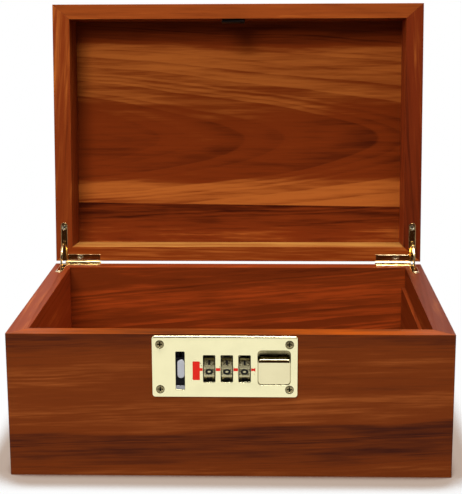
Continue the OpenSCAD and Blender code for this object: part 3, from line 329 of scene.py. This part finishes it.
def build_worn_metal():
    """Polish marks and tarnish of a metal: stretched noise for the polishing direction, broad noise for
    finger marks, and the dark tarnish that stays in recesses, which a piece marks with its own
    attribute."""
    tree, given, put = group_of("worn_metal", [
        ("Vector", "Vector", None), ("Bright", "Color", (0.9, 0.8, 0.5, 1)),
        ("Tarnish", "Color", (0.2, 0.15, 0.05, 1)), ("Tarnish Share", "Float", 0.2),
        ("Roughness", "Float", 0.2), ("Grain", "Float", 0.3), ("Recess", "Float", 0.0)],
        [("Color", "Color"), ("Roughness", "Float"), ("Height", "Float")])

    def noise(scale, detail):
        return wire(tree, "ShaderNodeTexNoise", {"Vector": vector_math(tree, given["Vector"], scale),
                    "Scale": 1.0, "Detail": detail}).outputs["Fac"]

    broad, fine, marks = noise((60, 60, 60), 3.0), noise((900, 900, 900), 2.0), noise((250, 4000, 4000), 1.0)
    cover = reckon(tree, "MULTIPLY", ease(tree, broad, 0.38, 0.72), given["Tarnish Share"])
    speckle = reckon(tree, "MULTIPLY", reckon(tree, "MULTIPLY", fine, 0.3), given["Tarnish Share"])
    cover = reckon(tree, "ADD", cover, speckle, clamp=True)
    worn_edge = reckon(tree, "ADD", given["Recess"], centred(tree, fine, 0.9))
    cover = reckon(tree, "MAXIMUM", cover, ease(tree, worn_edge, 0.35, 0.8))
    rough = reckon(tree, "ADD", given["Roughness"], centred(tree, broad, 0.08))
    feed(tree, put["Color"], blend_colour(tree, cover, given["Bright"], given["Tarnish"]))
    feed(tree, put["Roughness"],
         reckon(tree, "ADD", rough, reckon(tree, "MULTIPLY", cover, 0.15), clamp=True))
    feed(tree, put["Height"], reckon(tree, "MULTIPLY", reckon(tree, "ADD", marks, fine), given["Grain"]))
    return tree


worn_metal = build_worn_metal()


def metal(name, bright, tarnish, share, roughness, edge=0.0003, recessed=False):
    """Polished or aged metal with rounded edges; recessed reads the piece's own recess attribute."""
    material, tree, shader = fresh_material(name)
    sockets = {"Vector": wire(tree, "ShaderNodeTexCoord").outputs["Object"], "Bright": (*bright, 1),
               "Tarnish": (*tarnish, 1), "Tarnish Share": share, "Roughness": roughness}
    if recessed:
        sockets["Recess"] = wire(tree, "ShaderNodeAttribute", attribute_name="recess").outputs["Fac"]
    finish = wire(tree, "ShaderNodeGroup", sockets, node_tree=worn_metal).outputs
    eased = wire(tree, "ShaderNodeBevel", {"Radius": edge}, samples=4)
    bump = wire(tree, "ShaderNodeBump", {"Height": finish["Height"], "Strength": 0.08, "Distance": 0.0001,
                "Normal": eased.outputs[0]})
    for key, value in (("Base Color", finish["Color"]), ("Roughness", finish["Roughness"]),
                       ("Normal", bump.outputs[0]), ("Metallic", 1.0)):
        feed(tree, shader.inputs[key], value)
    return material


hinge_brass = metal("hinge_brass", (0.90, 0.70, 0.36), (0.40, 0.22, 0.05), 0.45, 0.07, edge=0.0005)
for side in ("left", "right"):
    for piece in ("base_leaf_", "lid_leaf_", "hinge_pin_", "stop_arm_"):
        finish_node(piece + side, hinge_brass)

# Lock works: a pressed steel case let into the front wall, with a back cover on four screws. They hold
# the axle of the dials, the bolt with its fence bar, and the springs. A steel hasp hangs from the lid;
# its near-black colour is painted shade, so that it sinks into the shadow under the lid's front rail.
lock_steel = metal("lock_steel", (0.40, 0.40, 0.41), (0.20, 0.20, 0.21), 0.35, 0.36)
dark_steel = metal("dark_steel", (0.016, 0.010, 0.008), (0.008, 0.005, 0.004), 0.4, 0.5)
for piece in ("lock_case", "back_cover", "cover_screws", "dial_axle", "axle_bracket_left",
              "axle_bracket_right", "dial_click_spring", "code_slot_clip", "thumb_click_spring",
              "drive_pin", "bolt", "bolt_guide_stud", "fence_bar"):
    finish_node(piece, lock_steel)
for piece in ("dial_sleeve_one", "dial_sleeve_two", "dial_sleeve_three"):
    finish_node(piece, hinge_brass)
for piece in ("hasp", "hasp_screws"):
    finish_node(piece, dark_steel)

# Lock plate: pale cast brass with a ground, rounded edge, polished on its face. It has a window for each
# dial, a slot for the code change knob and an opening for the thumb. Four posts behind it carry the
# back cover. Lengths of the lock are millimetres.


def rounded_outline(middle, size, radius, steps=6):
    """Rectangle with round corners, as points in X and Z running anticlockwise: each corner is a
    quarter circle about a centre that lies the radius inside both sides."""
    angle = np.radians([0, 90, 180, 270])[:, None] + np.linspace(0, np.pi / 2, steps + 1)
    corner = np.array([(1, 1), (-1, 1), (-1, -1), (1, -1)])[:, None, :]
    centre = np.asarray(middle) + corner * (np.asarray(size) / 2 - radius)
    return (centre + radius * np.stack((np.cos(angle), np.sin(angle)), -1)).reshape(-1, 2)


def at_depth(outline, y):
    """The points of a flat outline in X and Z, moved to one depth."""
    return np.insert(outline, 1, y, axis=1)


def ring_faces(rings, around=True, closed=False):
    """Four-sided faces between neighbouring rings of points, as rows of indices into all the points."""
    count, size = rings.shape[:2]
    row = np.arange(count if closed else count - 1)[:, None]
    column = np.arange(size if around else size - 1)[None, :]
    next_row, next_column = (row + 1) % count, (column + 1) % size
    return np.stack((row * size + column, row * size + next_column, next_row * size + next_column,
                     next_row * size + column), -1).reshape(-1, 4)


def flat_part(loops, recess=0.0):
    """A flat part at one depth: the first loop is its outline and the others are holes in it. Triangles
    between all the points are kept where a line going right from their middle crosses the loops an odd
    number of times."""
    counts = [len(loop) for loop in loops]
    turns = [start + (np.arange(n) + 1) % n for n, start in zip(counts, np.cumsum([0] + counts))]
    points, after = np.concatenate(loops), np.concatenate(turns)
    edges = np.stack((np.arange(len(points)), after), 1)
    corners, _, faces = delaunay_2d_cdt(points[:, ::2].tolist(), edges.tolist(), [], 0, 1e-6)[:3]
    corners, faces = np.array(corners), np.array(faces)
    x, z = corners[faces].mean(1).T[:, :, None]
    (x0, z0), (x1, z1) = points[:, ::2].T, points[after][:, ::2].T
    rise = np.where(z1 == z0, 1, z1 - z0)
    crossed = ((z0 > z) != (z1 > z)) & (x < x0 + (z - z0) * (x1 - x0) / rise)
    return at_depth(corners, points[0, 1]), faces[crossed.sum(1) % 2 == 1], False, recess


def closed_tube(rings, rounded=False):
    """A side wall through rings that lie flat, with both of its ends filled."""
    return [(rings, ring_faces(rings), rounded, 0.0), flat_part([rings[0]]), flat_part([rings[-1]])]


def make_piece(name, parts, material, body, slot, *stands_for):
    """One mesh from several parts. A part is its points in millimetres, its faces, whether it is
    rounded, and how recessed it is, from 0 to 1. Shared points are merged and faces turned outwards."""
    mesh = bpy.data.meshes.new(name)
    starts = np.cumsum([0] + [part[0].size // 3 for part in parts])
    points = np.concatenate([part[0].reshape(-1, 3) for part in parts]) / 1000
    faces = [row for part, start in zip(parts, starts) for row in (np.asarray(part[1]) + start).tolist()]
    smooth = np.repeat([part[2] for part in parts], [len(part[1]) for part in parts])
    recess = [np.broadcast_to(part[3], part[0].shape[:-1]).ravel() for part in parts]
    mesh.from_pydata(points, [], faces)
    mesh.polygons.foreach_set("use_smooth", smooth)
    mesh.attributes.new("recess", "FLOAT", "POINT").data.foreach_set("value", np.concatenate(recess))
    work = bmesh.new()
    work.from_mesh(mesh)
    bmesh.ops.remove_doubles(work, verts=work.verts, dist=2e-7)
    bmesh.ops.recalc_face_normals(work, faces=work.faces)
    work.to_mesh(mesh)
    work.free()
    mesh.set_sharp_from_angle(angle=math.radians(40))
    mesh.materials.append(material)
    piece = add_object(name, mesh)
    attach(piece, body)
    if stands_for:
        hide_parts(*stands_for)


plate_middle, plate_size, plate_corner, plate_easing = (-3.5, 85.5), (107.4, 47), 2.4, 1.1
face_y, back_y, mark_floor_y = -116.8, -115.0, -116.5
dial_middles, window_size, window_z = (-14.9, -1.9, 11.1), (9, 20.5), 84.25
slot_middle, slot_size, thumb_middle, thumb_size = (-36.25, 82.65), (6.8, 29.1), (32.8, 85.1), (24.3, 26.4)
plate_screw_places = [(plate_middle[0] + x, plate_middle[1] + z)
                      for x in (-47.6, 47.6) for z in (-17.2, 17.2)]
seat_size, seat_corner, seat_taper = (6.3, 6.3), 3.1, 1.7
post_places = [(x, z) for x in (-43.1, 36.1) for z in (69.3, 101.7)]
post_radius, post_end_y, post_chamfer, post_sunk = 1.8, -93.6, 0.2, 0.2
polished_depth, mark_tarnish = 0.3, 0.5


def edge_rings(middle, size, radius, easing, way=1, back_growth=0.0):
    """Rings of a rounded rectangle from the face of the plate to its back. The first ones follow a
    quarter circle: they start larger (way 1, an opening) or smaller (way -1, the plate's own edge)."""
    angle = np.linspace(0, np.pi / 2, 6)
    growth = np.append(way * easing * (1 - np.sin(angle)), back_growth)
    depth = np.append(face_y + easing * (1 - np.cos(angle)), back_y)
    return np.stack([at_depth(rounded_outline(middle, (size[0] + 2 * grow, size[1] + 2 * grow),
                                              radius + grow), y) for grow, y in zip(growth, depth)])


rim = edge_rings(plate_middle, plate_size, plate_corner, plate_easing, way=-1)
openings = [edge_rings((x, window_z), window_size, radius=0.7, easing=0.35) for x in dial_middles]
openings.append(edge_rings(slot_middle, slot_size, radius=0.7, easing=0.3))
openings.append(edge_rings(thumb_middle, thumb_size, radius=3.0, easing=0.35))
openings += [edge_rings(place, seat_size, seat_corner, easing=0.15, back_growth=-seat_taper)
             for place in plate_screw_places]
# The index: a block with a stub, a dash between each two windows, and a tail that flares at its end.
line_z, line_half = 83.6, 1.1
block = rounded_outline((-24.45, 82.65), (5.3, 14.3), 0.7)
stub = np.array([(-21.8, line_z - line_half), (-19.75, line_z - line_half), (-19.75, line_z + line_half),
                 (-21.8, line_z + line_half)])
dashes = [rounded_outline((x, line_z), (3.3, 2 * line_half), 0.25) for x in (-8.4, 4.6)]
tail = np.array([(19.0, line_z - 1.5), (19.0, line_z + 1.5), (17.9, line_z + 0.8),
                 (15.95, line_z + line_half), (15.95, line_z - line_half), (17.9, line_z - 0.8)])
marks = [np.concatenate((block, stub)), *dashes, tail]
face_holes = [rings[0] for rings in openings] + [at_depth(mark, face_y) for mark in marks]
plate_parts = [flat_part([rim[0]] + face_holes), flat_part([rim[-1]] + [rings[-1] for rings in openings]),
               (rim, ring_faces(rim), True, 0.0)]
for rings in openings:
    plate_parts.append((rings, ring_faces(rings), True,
                        np.clip((rings[..., 1] - face_y) / polished_depth, 0, 1)))
for mark in marks:
    wall = np.stack((at_depth(mark, face_y), at_depth(mark, mark_floor_y)))
    plate_parts += [(wall, ring_faces(wall), False, mark_tarnish), flat_part([wall[1]], mark_tarnish)]
for place in post_places:
    plate_parts += closed_tube(np.stack([
        at_depth(rounded_outline(place, (2 * radius, 2 * radius), 0.96 * radius), y) for radius, y in (
            (post_radius, back_y - post_sunk), (post_radius, post_end_y - post_chamfer),
            (post_radius - post_chamfer, post_end_y))]), rounded=True)
plate_brass = metal("plate_brass", (0.93, 0.865, 0.53), (0.30, 0.25, 0.11), 0.05, 0.14, edge=0.0001,
                    recessed=True)
make_piece("polished_lock_plate", plate_parts, plate_brass, "base", "plate_brass", "lock_plate")

# Screws of the plate and of the hinges: brass wood screws with a low crowned head and a cross recess,
# sunk almost flush. Those of the plate are antiqued dark.


def crowned_screw(place, axes, head, crown, shank, length, sides=64):
    """Wood screw about its axis: rings from the point up the shank, out along the cone and in again over
    the crown. A cross of two soft grooves, deepest in the middle, is sunk into the crown."""
    crown_share = np.array([0.935, 0.86, 0.78, 0.7, 0.62, 0.54, 0.46, 0.38, 0.3, 0.22, 0.14, 0.05])
    radius = np.concatenate(([0.05, shank, shank, 0.84 * head, 0.955 * head], crown_share * head))
    height = np.concatenate(([-length, 3 - length, -0.57 * head, -0.165 * head, -0.05 * head],
                             crown * np.sqrt(1 - (crown_share / crown_share[0]) ** 2)))
    first = len(radius) - len(crown_share)
    angle = np.linspace(0, 2 * np.pi, sides, endpoint=False)
    x, z = radius[:, None] * np.cos(angle), radius[:, None] * np.sin(angle)
    near, far = np.minimum(np.abs(x), np.abs(z)), np.maximum(np.abs(x), np.abs(z))
    groove_half, groove_soft, groove_reach, end_soft = 0.17 * head, 0.08 * head, 0.66 * head, 0.12 * head
    groove = np.clip((groove_half - near) / groove_soft, 0, 1)
    groove = groove * np.clip((groove_reach - far) / end_soft, 0, 1)
    sunk = np.repeat(height[:, None], sides, 1)
    sunk[first:] -= (groove * (0.45 * head - 0.3 * far))[first:]
    rings = np.stack((x, z, sunk), -1) @ np.asarray(axes, float) + np.asarray(place, float)
    recess = np.zeros_like(x)
    recess[first:] = groove[first:]
    recess[first - 2:first + 1] = 0.6
    ends = [(rings[row], [list(range(sides))], False, recess[row]) for row in (0, -1)]
    return [(rings, ring_faces(rings), True, recess), *ends]


antique_brass = metal("antique_screws", (0.40, 0.33, 0.17), (0.035, 0.026, 0.012), 0.5, 0.26, recessed=True)
screw_parts = []
for x, z in plate_screw_places:
    screw_parts += crowned_screw((x, face_y, z), ((1, 0, 0), (0, 0, 1), (0, -1, 0)), head=3.1, crown=0.2,
                                 shank=1.4, length=13.5)
make_piece("crowned_plate_screws", screw_parts, antique_brass, "base", "aged_brass", "plate_screws")
screw_brass = metal("screw_brass", (0.84, 0.74, 0.52), (0.03, 0.02, 0.01), 0.2, 0.12, recessed=True)
axis_point, turned_axes = np.array(pin_line) * 1000, np.array(turn)
hinge_screw = {"head": 2.25, "crown": 0.1, "shank": 1.1, "length": 13}
base_leaf_z, lid_leaf_z = 110.15, 110.45
base_screws, lid_screws = [], []  # Those of the lid are turned with it about the line of the pins.
for side in (-1, 1):
    for x, y in ((143.0, 111.65), (157.4, 84.5)):
        base_screws += crowned_screw((side * x, y, base_leaf_z), ((1, 0, 0), (0, 1, 0), (0, 0, 1)),
                                     **hinge_screw)
        head_place = turned_axes @ (np.array([side * x, y, lid_leaf_z]) - axis_point) + axis_point
        lid_screws += crowned_screw(head_place, (turned_axes[:, 0], -turned_axes[:, 1], -turned_axes[:, 2]),
                                    **hinge_screw)
make_piece("base_hinge_screws", base_screws, screw_brass, "base", "hinge_brass", "base_leaf_screws")
make_piece("lid_hinge_screws", lid_screws, screw_brass, "lid", "hinge_brass", "lid_leaf_screws")

# Red index marks: enamel run into shallow recesses of the plate and cured, standing a hair above the
# face. They show the row on which the code is set.
enamel_proud = 0.03


def plain_coat(name, colour, roughness, speck, gloss=0.5):
    """Moulded plastic or enamel with a fine speckle."""
    material, tree, shader = fresh_material(name)
    grain = wire(tree, "ShaderNodeTexNoise", {"Vector": wire(tree, "ShaderNodeTexCoord").outputs["Object"],
                 "Scale": 1500.0, "Detail": 3.0}).outputs["Fac"]
    speckled = blend_colour(tree, reckon(tree, "MULTIPLY", grain, speck), (*colour, 1),
                            tuple(c * 0.5 for c in colour) + (1,))
    for key, value in (("Base Color", speckled), ("Specular IOR Level", gloss),
                       ("Roughness", reckon(tree, "ADD", roughness, reckon(tree, "MULTIPLY", grain, 0.1)))):
        feed(tree, shader.inputs[key], value)
    return material


enamel_parts = []
for mark in marks:
    enamel_parts += closed_tube(np.stack((at_depth(mark, mark_floor_y),
                                          at_depth(mark, face_y - enamel_proud))))
red_enamel = plain_coat("red_enamel", (0.80, 0.022, 0.012), 0.3, 0.2, 0.15)
make_piece("index_enamel", enamel_parts, red_enamel, "base", "red_enamel", "index_inlay")

# Number dials: three ten-sided brass drums, antiqued on their flats. The rounded corners between the
# flats and the middle of the 0 are kept bright as painted highlights, and the drums are darker towards
# their two ends. The figures are stamped and filled with black enamel.
aged_brass = metal("aged_brass", (0.64, 0.58, 0.34), (0.06, 0.045, 0.018), 0.25, 0.30, recessed=True)
dial_axis_y, dial_axis_z, dial_half, dial_easing, facet_count = -106.2, 82.0, 4.1, 0.45, 10
packed_radius, figure_room, bore = 11.4, 0.03, 4.0
apothem = packed_radius * math.cos(math.pi / facet_count) - figure_room
facet_width = 2 * np.pi / facet_count


def drum_ring(x, flat_distance, rounding=0.7):
    """Outline of the drum at one place on its axis: ten flats, each with a run of points along it, and
    round corners, each a short arc about a centre that lies the rounding inside both flats."""
    facet_angle = facet_width * np.arange(facet_count)[:, None]
    arc = facet_angle + np.linspace(0, facet_width, 4)
    reach = (flat_distance - rounding) / math.cos(math.pi / facet_count)
    middle = facet_angle + math.pi / facet_count
    corner = rounding * np.stack((np.cos(arc), np.sin(arc)), -1)
    corner = corner + reach * np.stack((np.cos(middle), np.sin(middle)), -1)
    following = np.roll(corner, -1, axis=0)[:, :1]
    share = np.array([0.08, 0.18, 0.32, 0.5, 0.68, 0.82, 0.92])[None, :, None]
    flat = corner[:, -1:] + (following - corner[:, -1:]) * share
    out, up = np.moveaxis(np.concatenate((corner, flat), 1).reshape(-1, 2), -1, 0)
    return np.stack((np.full_like(out, x), dial_axis_y - out, dial_axis_z + up), -1)


def numeral_paths():
    """Middle lines of the figures 0 to 9 in a square from -1 to 1, as open or closed paths: arcs of
    ellipses and straight strokes."""
    def bow(x, z, wide, high, start, end, count=17):
        angle = np.radians(np.linspace(start, end, count))
        return np.stack((x + wide * np.cos(angle), z + high * np.sin(angle)), -1)

    def line(*points):
        return np.array(points, float)

    hook = bow(0.55, -0.4, 1.35, 1.4, 92, 180)
    bowl = bow(0, -0.4, 0.8, 0.6, 0, 360)
    return ([bow(0, 0, 1, 1, 0, 360)],
            [line((0, 1.25), (0, -1.25))],
            [np.concatenate((bow(0, 0.4, 0.8, 0.6, 170, -35), [(-0.85, -1.0)])),
             line((-1.1, -1), (1.0, -1))],
            [bow(0, 0.48, 0.72, 0.52, 150, -90), bow(0, -0.48, 0.85, 0.56, 90, -150)],
            [line((0.35, -1.2), (0.35, 1.1)), line((0.4, 1.1), (-0.95, -0.3)),
             line((-1.0, -0.35), (1.1, -0.35))],
            [line((0.8, 1), (-0.8, 1)), line((-0.62, 1), (-0.7, 0.1)),
             bow(-0.05, -0.35, 0.85, 0.65, 135, -150)],
            [hook, bowl],
            [line((-0.95, 1), (1.0, 1)), line((0.85, 1), (-0.25, -1.2))],
            [bow(0, 0.5, 0.62, 0.5, 0, 360), bow(0, -0.47, 0.8, 0.53, 0, 360)],
            [-hook, -bowl])


def stroke(path, width=1.55):
    """One enamel stroke: a low arched section carried along its path and closed at both ends."""
    looped = np.allclose(path[0], path[-1])
    path = path[:-1] if looped else path
    ahead = np.roll(path, -1, 0) - np.roll(path, 1, 0) if looped else np.gradient(path, axis=0)
    ahead = ahead / np.linalg.norm(ahead, axis=1, keepdims=True)
    side = np.stack((-ahead[:, 1], ahead[:, 0]), 1)
    section = np.array([(-0.5, -0.06), (-0.5, 0.01), (-0.3, 0.03), (0.3, 0.03), (0.5, 0.01), (0.5, -0.06)])
    flat = path[:, None] + side[:, None] * (section[:, :1] * width)
    rings = np.concatenate((flat, np.broadcast_to(section[:, 1:], flat.shape[:2] + (1,))), 2)
    ends = () if looped else (0, -1)
    return [(rings, ring_faces(rings, closed=looped), True, 0.0),
            *[(rings[row], [list(range(len(section)))], False, 0.0) for row in ends]]


black_enamel = plain_coat("black_enamel", (0.010, 0.009, 0.008), 0.35, 0.3, 0.15)
figure_half_size = (2.15, 1.5)
# Places along the dial: the eased end, runs over the flat middle with one at its centre, and the other
# end. Tarnish covers the flats, less towards the corners, where it leaves a painted highlight; the middle
# of the 0 is kept bright as a painted highlight, and the drum darkens towards both ends.
half_flat = dial_half - dial_easing
end_angles = np.linspace(0, np.pi / 2, 5)
run_places = [-0.95, -0.8, -0.6, -0.3, 0, 0.3, 0.6, 0.8, 0.95]
stations = [(-half_flat - dial_easing * math.cos(a), -dial_easing * (1 - math.sin(a))) for a in end_angles]
centre_station = len(stations) + run_places.index(0)
stations += [(x * half_flat, 0.0) for x in run_places]
stations += [(-x, drop) for x, drop in stations[len(end_angles) - 1::-1]]
flat_tarnish, painted_corner_highlight, end_fade, painted_centre_highlight = 0.6, 8, 9, -0.6
for body, dial_x in zip(("dial_one", "dial_two", "dial_three"), dial_middles):
    drum = np.stack([drum_ring(dial_x + x, apothem + drop) for x, drop in stations])
    around = np.arctan2(drum[0, :, 2] - dial_axis_z, dial_axis_y - drum[0, :, 1])
    hole = np.stack([np.stack((np.full_like(around, dial_x + x), dial_axis_y - bore * np.cos(around),
                               dial_axis_z + bore * np.sin(around)), -1) for x in (dial_half, -dial_half)])
    drum = np.concatenate((drum, hole))
    along = np.abs(drum[:, :1, 0] - dial_x) / dial_half
    facet = np.abs((around * facet_count / (2 * np.pi)) % 1 - 0.5)
    # Tarnish on the flats; the bare corners are a painted highlight, and the drum darkens towards its ends.
    tarnish = np.maximum(np.clip(painted_corner_highlight * facet, 0, 1) * flat_tarnish, 1 - end_fade * (1 - along))
    tarnish = tarnish.clip(0, 1)
    # A painted highlight in the middle of the 0.
    tarnish[centre_station, np.abs(around).argmin()] = painted_centre_highlight
    make_piece(body + "_drum", [(drum, ring_faces(drum, closed=True), True, tarnish)], aged_brass,
               body, "aged_brass", body)
    figure_parts = []
    for number, paths in enumerate(numeral_paths()):
        angle = 2 * math.pi / facet_count * number
        outward = np.array([0, -math.cos(angle), math.sin(angle)])
        axes = np.array([(1, 0, 0), (0, math.sin(angle), math.cos(angle)), outward])
        foot = np.array([dial_x, dial_axis_y, dial_axis_z]) + apothem * outward
        for path in paths:
            figure_parts += [(points @ axes + foot, *rest)
                             for points, *rest in stroke(path * figure_half_size)]
    make_piece(body + "_figures", figure_parts, black_enamel, body, "black_plastic")

# Code change slide: a black moulded slide in a black channel behind the slot, with a low crowned cap of
# pale grey plastic pressed over its knob.
knob_middle, knob_size, knob_corner = (-35.65, 83.8), (5.3, 14.1), 2.58
knob_foot_y, knob_height = -115.3, 1.4
black_moulding = plain_coat("black_moulding", (0.006, 0.006, 0.008), 0.4, 0.3, 0.12)
finish_node("code_slot_channel", black_moulding)
finish_node("code_change_slide", black_moulding)
cap = np.stack([at_depth(rounded_outline(knob_middle, (knob_size[0] - 2 * inset, knob_size[1] - 2 * inset),
                                         knob_corner - inset), knob_foot_y - knob_height * rise)
                for inset, rise in ((0, 0), (0, 0.7), (0.12, 0.83), (0.4, 0.93), (0.9, 0.98), (1.6, 1.0))])
make_piece("code_knob_cap", closed_tube(cap, rounded=True),
           plain_coat("grey_moulding", (0.50, 0.50, 0.53), 0.35, 0.2), "code_change_slide", "grey_plastic")

# Thumb slide: a pressed and polished brass face that rolls over into the cup along its top. Guide flanges
# behind the plate keep it in the opening, and the cup behind it is antiqued.
slide_x, slide_half, slide_foot, slide_lip = 32.8, 11.85, 72.2, 92.0
slide_front_y, slide_back_y = -116.6, -111.6
roll, slide_corner, slide_easing = 3.4, 2.7, 0.6
flange_middle, flange_size, flange_front_y = (slide_x, 80.4), (26.3, 16.4), -114.7


def corner_inset(reach):
    """How far a round corner lies inside the straight side, at a distance from the end of that side."""
    inside = slide_corner - np.minimum(reach, slide_corner)
    return slide_corner - np.sqrt(slide_corner ** 2 - inside ** 2)


# Rows run from the lip over the roll and down the flat face, closer where the lower corners begin.
over, under = np.linspace(np.pi / 2, 0, 11), np.linspace(0, np.pi / 2, 6)
face_z = np.concatenate((np.linspace(87.5, 75.5, 7), [74.7, 74.2, 73.7, 73.2]))
rows_z = np.concatenate(([slide_lip], slide_lip - roll + roll * np.sin(over), face_z,
                         slide_foot + slide_easing * (1 - np.sin(under)), [slide_foot]))
rows_y = np.concatenate(([slide_back_y], slide_front_y + roll * (1 - np.cos(over)),
                         np.full(len(face_z), slide_front_y),
                         slide_front_y + slide_easing * (1 - np.cos(under)), [slide_back_y]))
half = slide_half - corner_inset(rows_z - slide_foot) - corner_inset(slide_lip - rows_z)
inner = (half - slide_easing)[:, None]
side_x = np.concatenate((-slide_easing * np.sin(under[::-1]), slide_easing * np.sin(under)))
side_y = slide_easing * (1 - np.cos(np.concatenate((under[::-1], under))))
edge_x = np.repeat([-1, 1], len(under)) * inner + side_x
edge_y = np.minimum(rows_y[:, None] + side_y, slide_back_y)
flat_share = np.linspace(-0.8, 0.8, 7)
flat_y = np.repeat(rows_y[:, None], len(flat_share), 1)
end_y = np.full((len(rows_y), 1), slide_back_y)
left_edge, right_edge = np.s_[:, :len(under)], np.s_[:, len(under):]
grid_x = np.concatenate((-half[:, None], edge_x[left_edge], inner * flat_share, edge_x[right_edge],
                         half[:, None]), 1)
grid_y = np.concatenate((end_y, edge_y[left_edge], flat_y, edge_y[right_edge], end_y), 1)
shell = np.stack((slide_x + grid_x, grid_y, np.repeat(rows_z[:, None], grid_x.shape[1], 1)), -1)
# The open back of the shell is closed along its border, walked round once.
border = np.concatenate((shell[0, 1:-1], shell[2:-2, -1], shell[-1, 1:-1][::-1], shell[2:-2, 0][::-1]))
flange = np.stack([at_depth(rounded_outline(flange_middle, flange_size, 0.5), y)
                   for y in (flange_front_y, slide_back_y)])
slide_parts = [(shell, ring_faces(shell, around=False), True, 0.0), flat_part([border]), *closed_tube(flange)]
thumb_brass = metal("thumb_brass", (0.83, 0.75, 0.46), (0.30, 0.25, 0.11), 0.05, 0.10, edge=0.0001)
make_piece("polished_thumb_slide", slide_parts, thumb_brass, "thumb_slide", "plate_brass", "thumb_slide")
finish_node("thumb_cup", metal("cup_brass", (0.42, 0.36, 0.19), (0.10, 0.08, 0.03), 0.5, 0.22))

# Studio: a seamless white floor, open below the box, a large soft light above and a smaller one in front
# at the left, in a white room. The floor keeps the shadow of the box: its shade follows how near the
# box is.
far, under_x, under_y, floor_z = 6, 0.163, 0.113, -0.0003
square = np.array([(-1, -1), (1, -1), (1, 1), (-1, 1)])
sheet = np.stack([np.insert(square * reach, 2, floor_z, axis=1)
                  for reach in ((far, far), (under_x, under_y))])


def stage_sheet(name, points, faces, cloth_name):
    """A sheet of the studio with a material of its own, whose shader is still to come."""
    mesh = bpy.data.meshes.new(name)
    mesh.from_pydata(points, [], faces)
    made = add_object(name, mesh)
    material, tree, shader = fresh_material(cloth_name)
    tree.nodes.remove(shader)
    mesh.materials.append(material)
    return made, tree, tree.nodes["Material Output"].inputs["Surface"]


tree, surface = stage_sheet("studio_floor", sheet.reshape(-1, 3),
                            [row[::-1] for row in ring_faces(sheet).tolist()], "studio_paper")[1:]
ray = wire(tree, "ShaderNodeLightPath").outputs
nearness = wire(tree, "ShaderNodeAmbientOcclusion", {"Distance": 0.034}, samples=16).outputs["AO"]
soft_shadow, contact_shadow, white = (0.50, 0.39, 0.32, 1), (0.16, 0.07, 0.04, 1), (1, 1, 1, 1)
shade = blend_colour(tree, ease(tree, nearness, 0.80, 0.995), soft_shadow, white)
shade = blend_colour(tree, ease(tree, nearness, 0.50, 0.60), contact_shadow, shade)
glow = wire(tree, "ShaderNodeEmission", {"Color": shade, "Strength": 1.0}).outputs[0]
matt = wire(tree, "ShaderNodeBsdfDiffuse", {"Color": (0.25, 0.25, 0.25, 1)}).outputs[0]
seen = reckon(tree, "MAXIMUM", ray["Is Camera Ray"], ray["Is Glossy Ray"])
feed(tree, surface, wire(tree, "ShaderNodeMixShader", {0: seen, 1: matt, 2: glow}).outputs[0])


def softbox(name, place, aim, size, power):
    """Square area light at a place, turned to its aim."""
    lamp = bpy.data.lights.new(name, "AREA")
    lamp.size, lamp.energy = size, power
    holder = add_object(name, lamp)
    facing = (Vector(place) - Vector(aim)).to_track_quat("Z", "Y").to_matrix().to_4x4()
    holder.matrix_world = Matrix.Translation(place) @ facing
    return holder


softbox("softbox_front", (-0.45, -1.6, 1.15), (0, 0, 0.15), 0.7, 25).visible_glossy = False
softbox("softbox_above", (0.12, -0.05, 1.7), (0, -0.02, 0.12), 0.9, 44)
# A dark warm flag on the floor in front of the box and upright behind the viewpoint. Only reflections
# show it, and it keeps the polished brass from looking white.
flag_half, flag_near, flag_far, flag_low, flag_high = 1.1, -0.95, -1.95, 0.002, 3.1
black_flag, tree, surface = stage_sheet("black_flag", [
    (-flag_half, flag_near, flag_low), (flag_half, flag_near, flag_low), (flag_half, flag_far, flag_low),
    (-flag_half, flag_far, flag_low), (flag_half, flag_far, flag_high), (-flag_half, flag_far, flag_high)],
    [(0, 1, 2, 3), (3, 2, 4, 5)], "black_cloth")
dim = wire(tree, "ShaderNodeEmission", {"Color": (0.03, 0.012, 0.005, 1), "Strength": 1.0}).outputs[0]
feed(tree, surface, dim)
for kind in ("camera", "diffuse", "transmission", "shadow", "volume_scatter"):
    setattr(black_flag, "visible_" + kind, False)
room = bpy.data.worlds.new("white_room")
bpy.context.scene.world = room
room.use_nodes = True
tree = room.node_tree
ray = wire(tree, "ShaderNodeLightPath").outputs
seen = reckon(tree, "MAXIMUM", ray["Is Camera Ray"],
              reckon(tree, "MAXIMUM", ray["Is Glossy Ray"], ray["Is Transmission Ray"]))
back, room_light = tree.nodes["Background"].inputs, 0.20
feed(tree, back["Color"], white)
feed(tree, back["Strength"], ease(tree, seen, 0.0, 1.0, room_light, 1.0))
bpy.context.scene.view_settings.view_transform = "Standard"
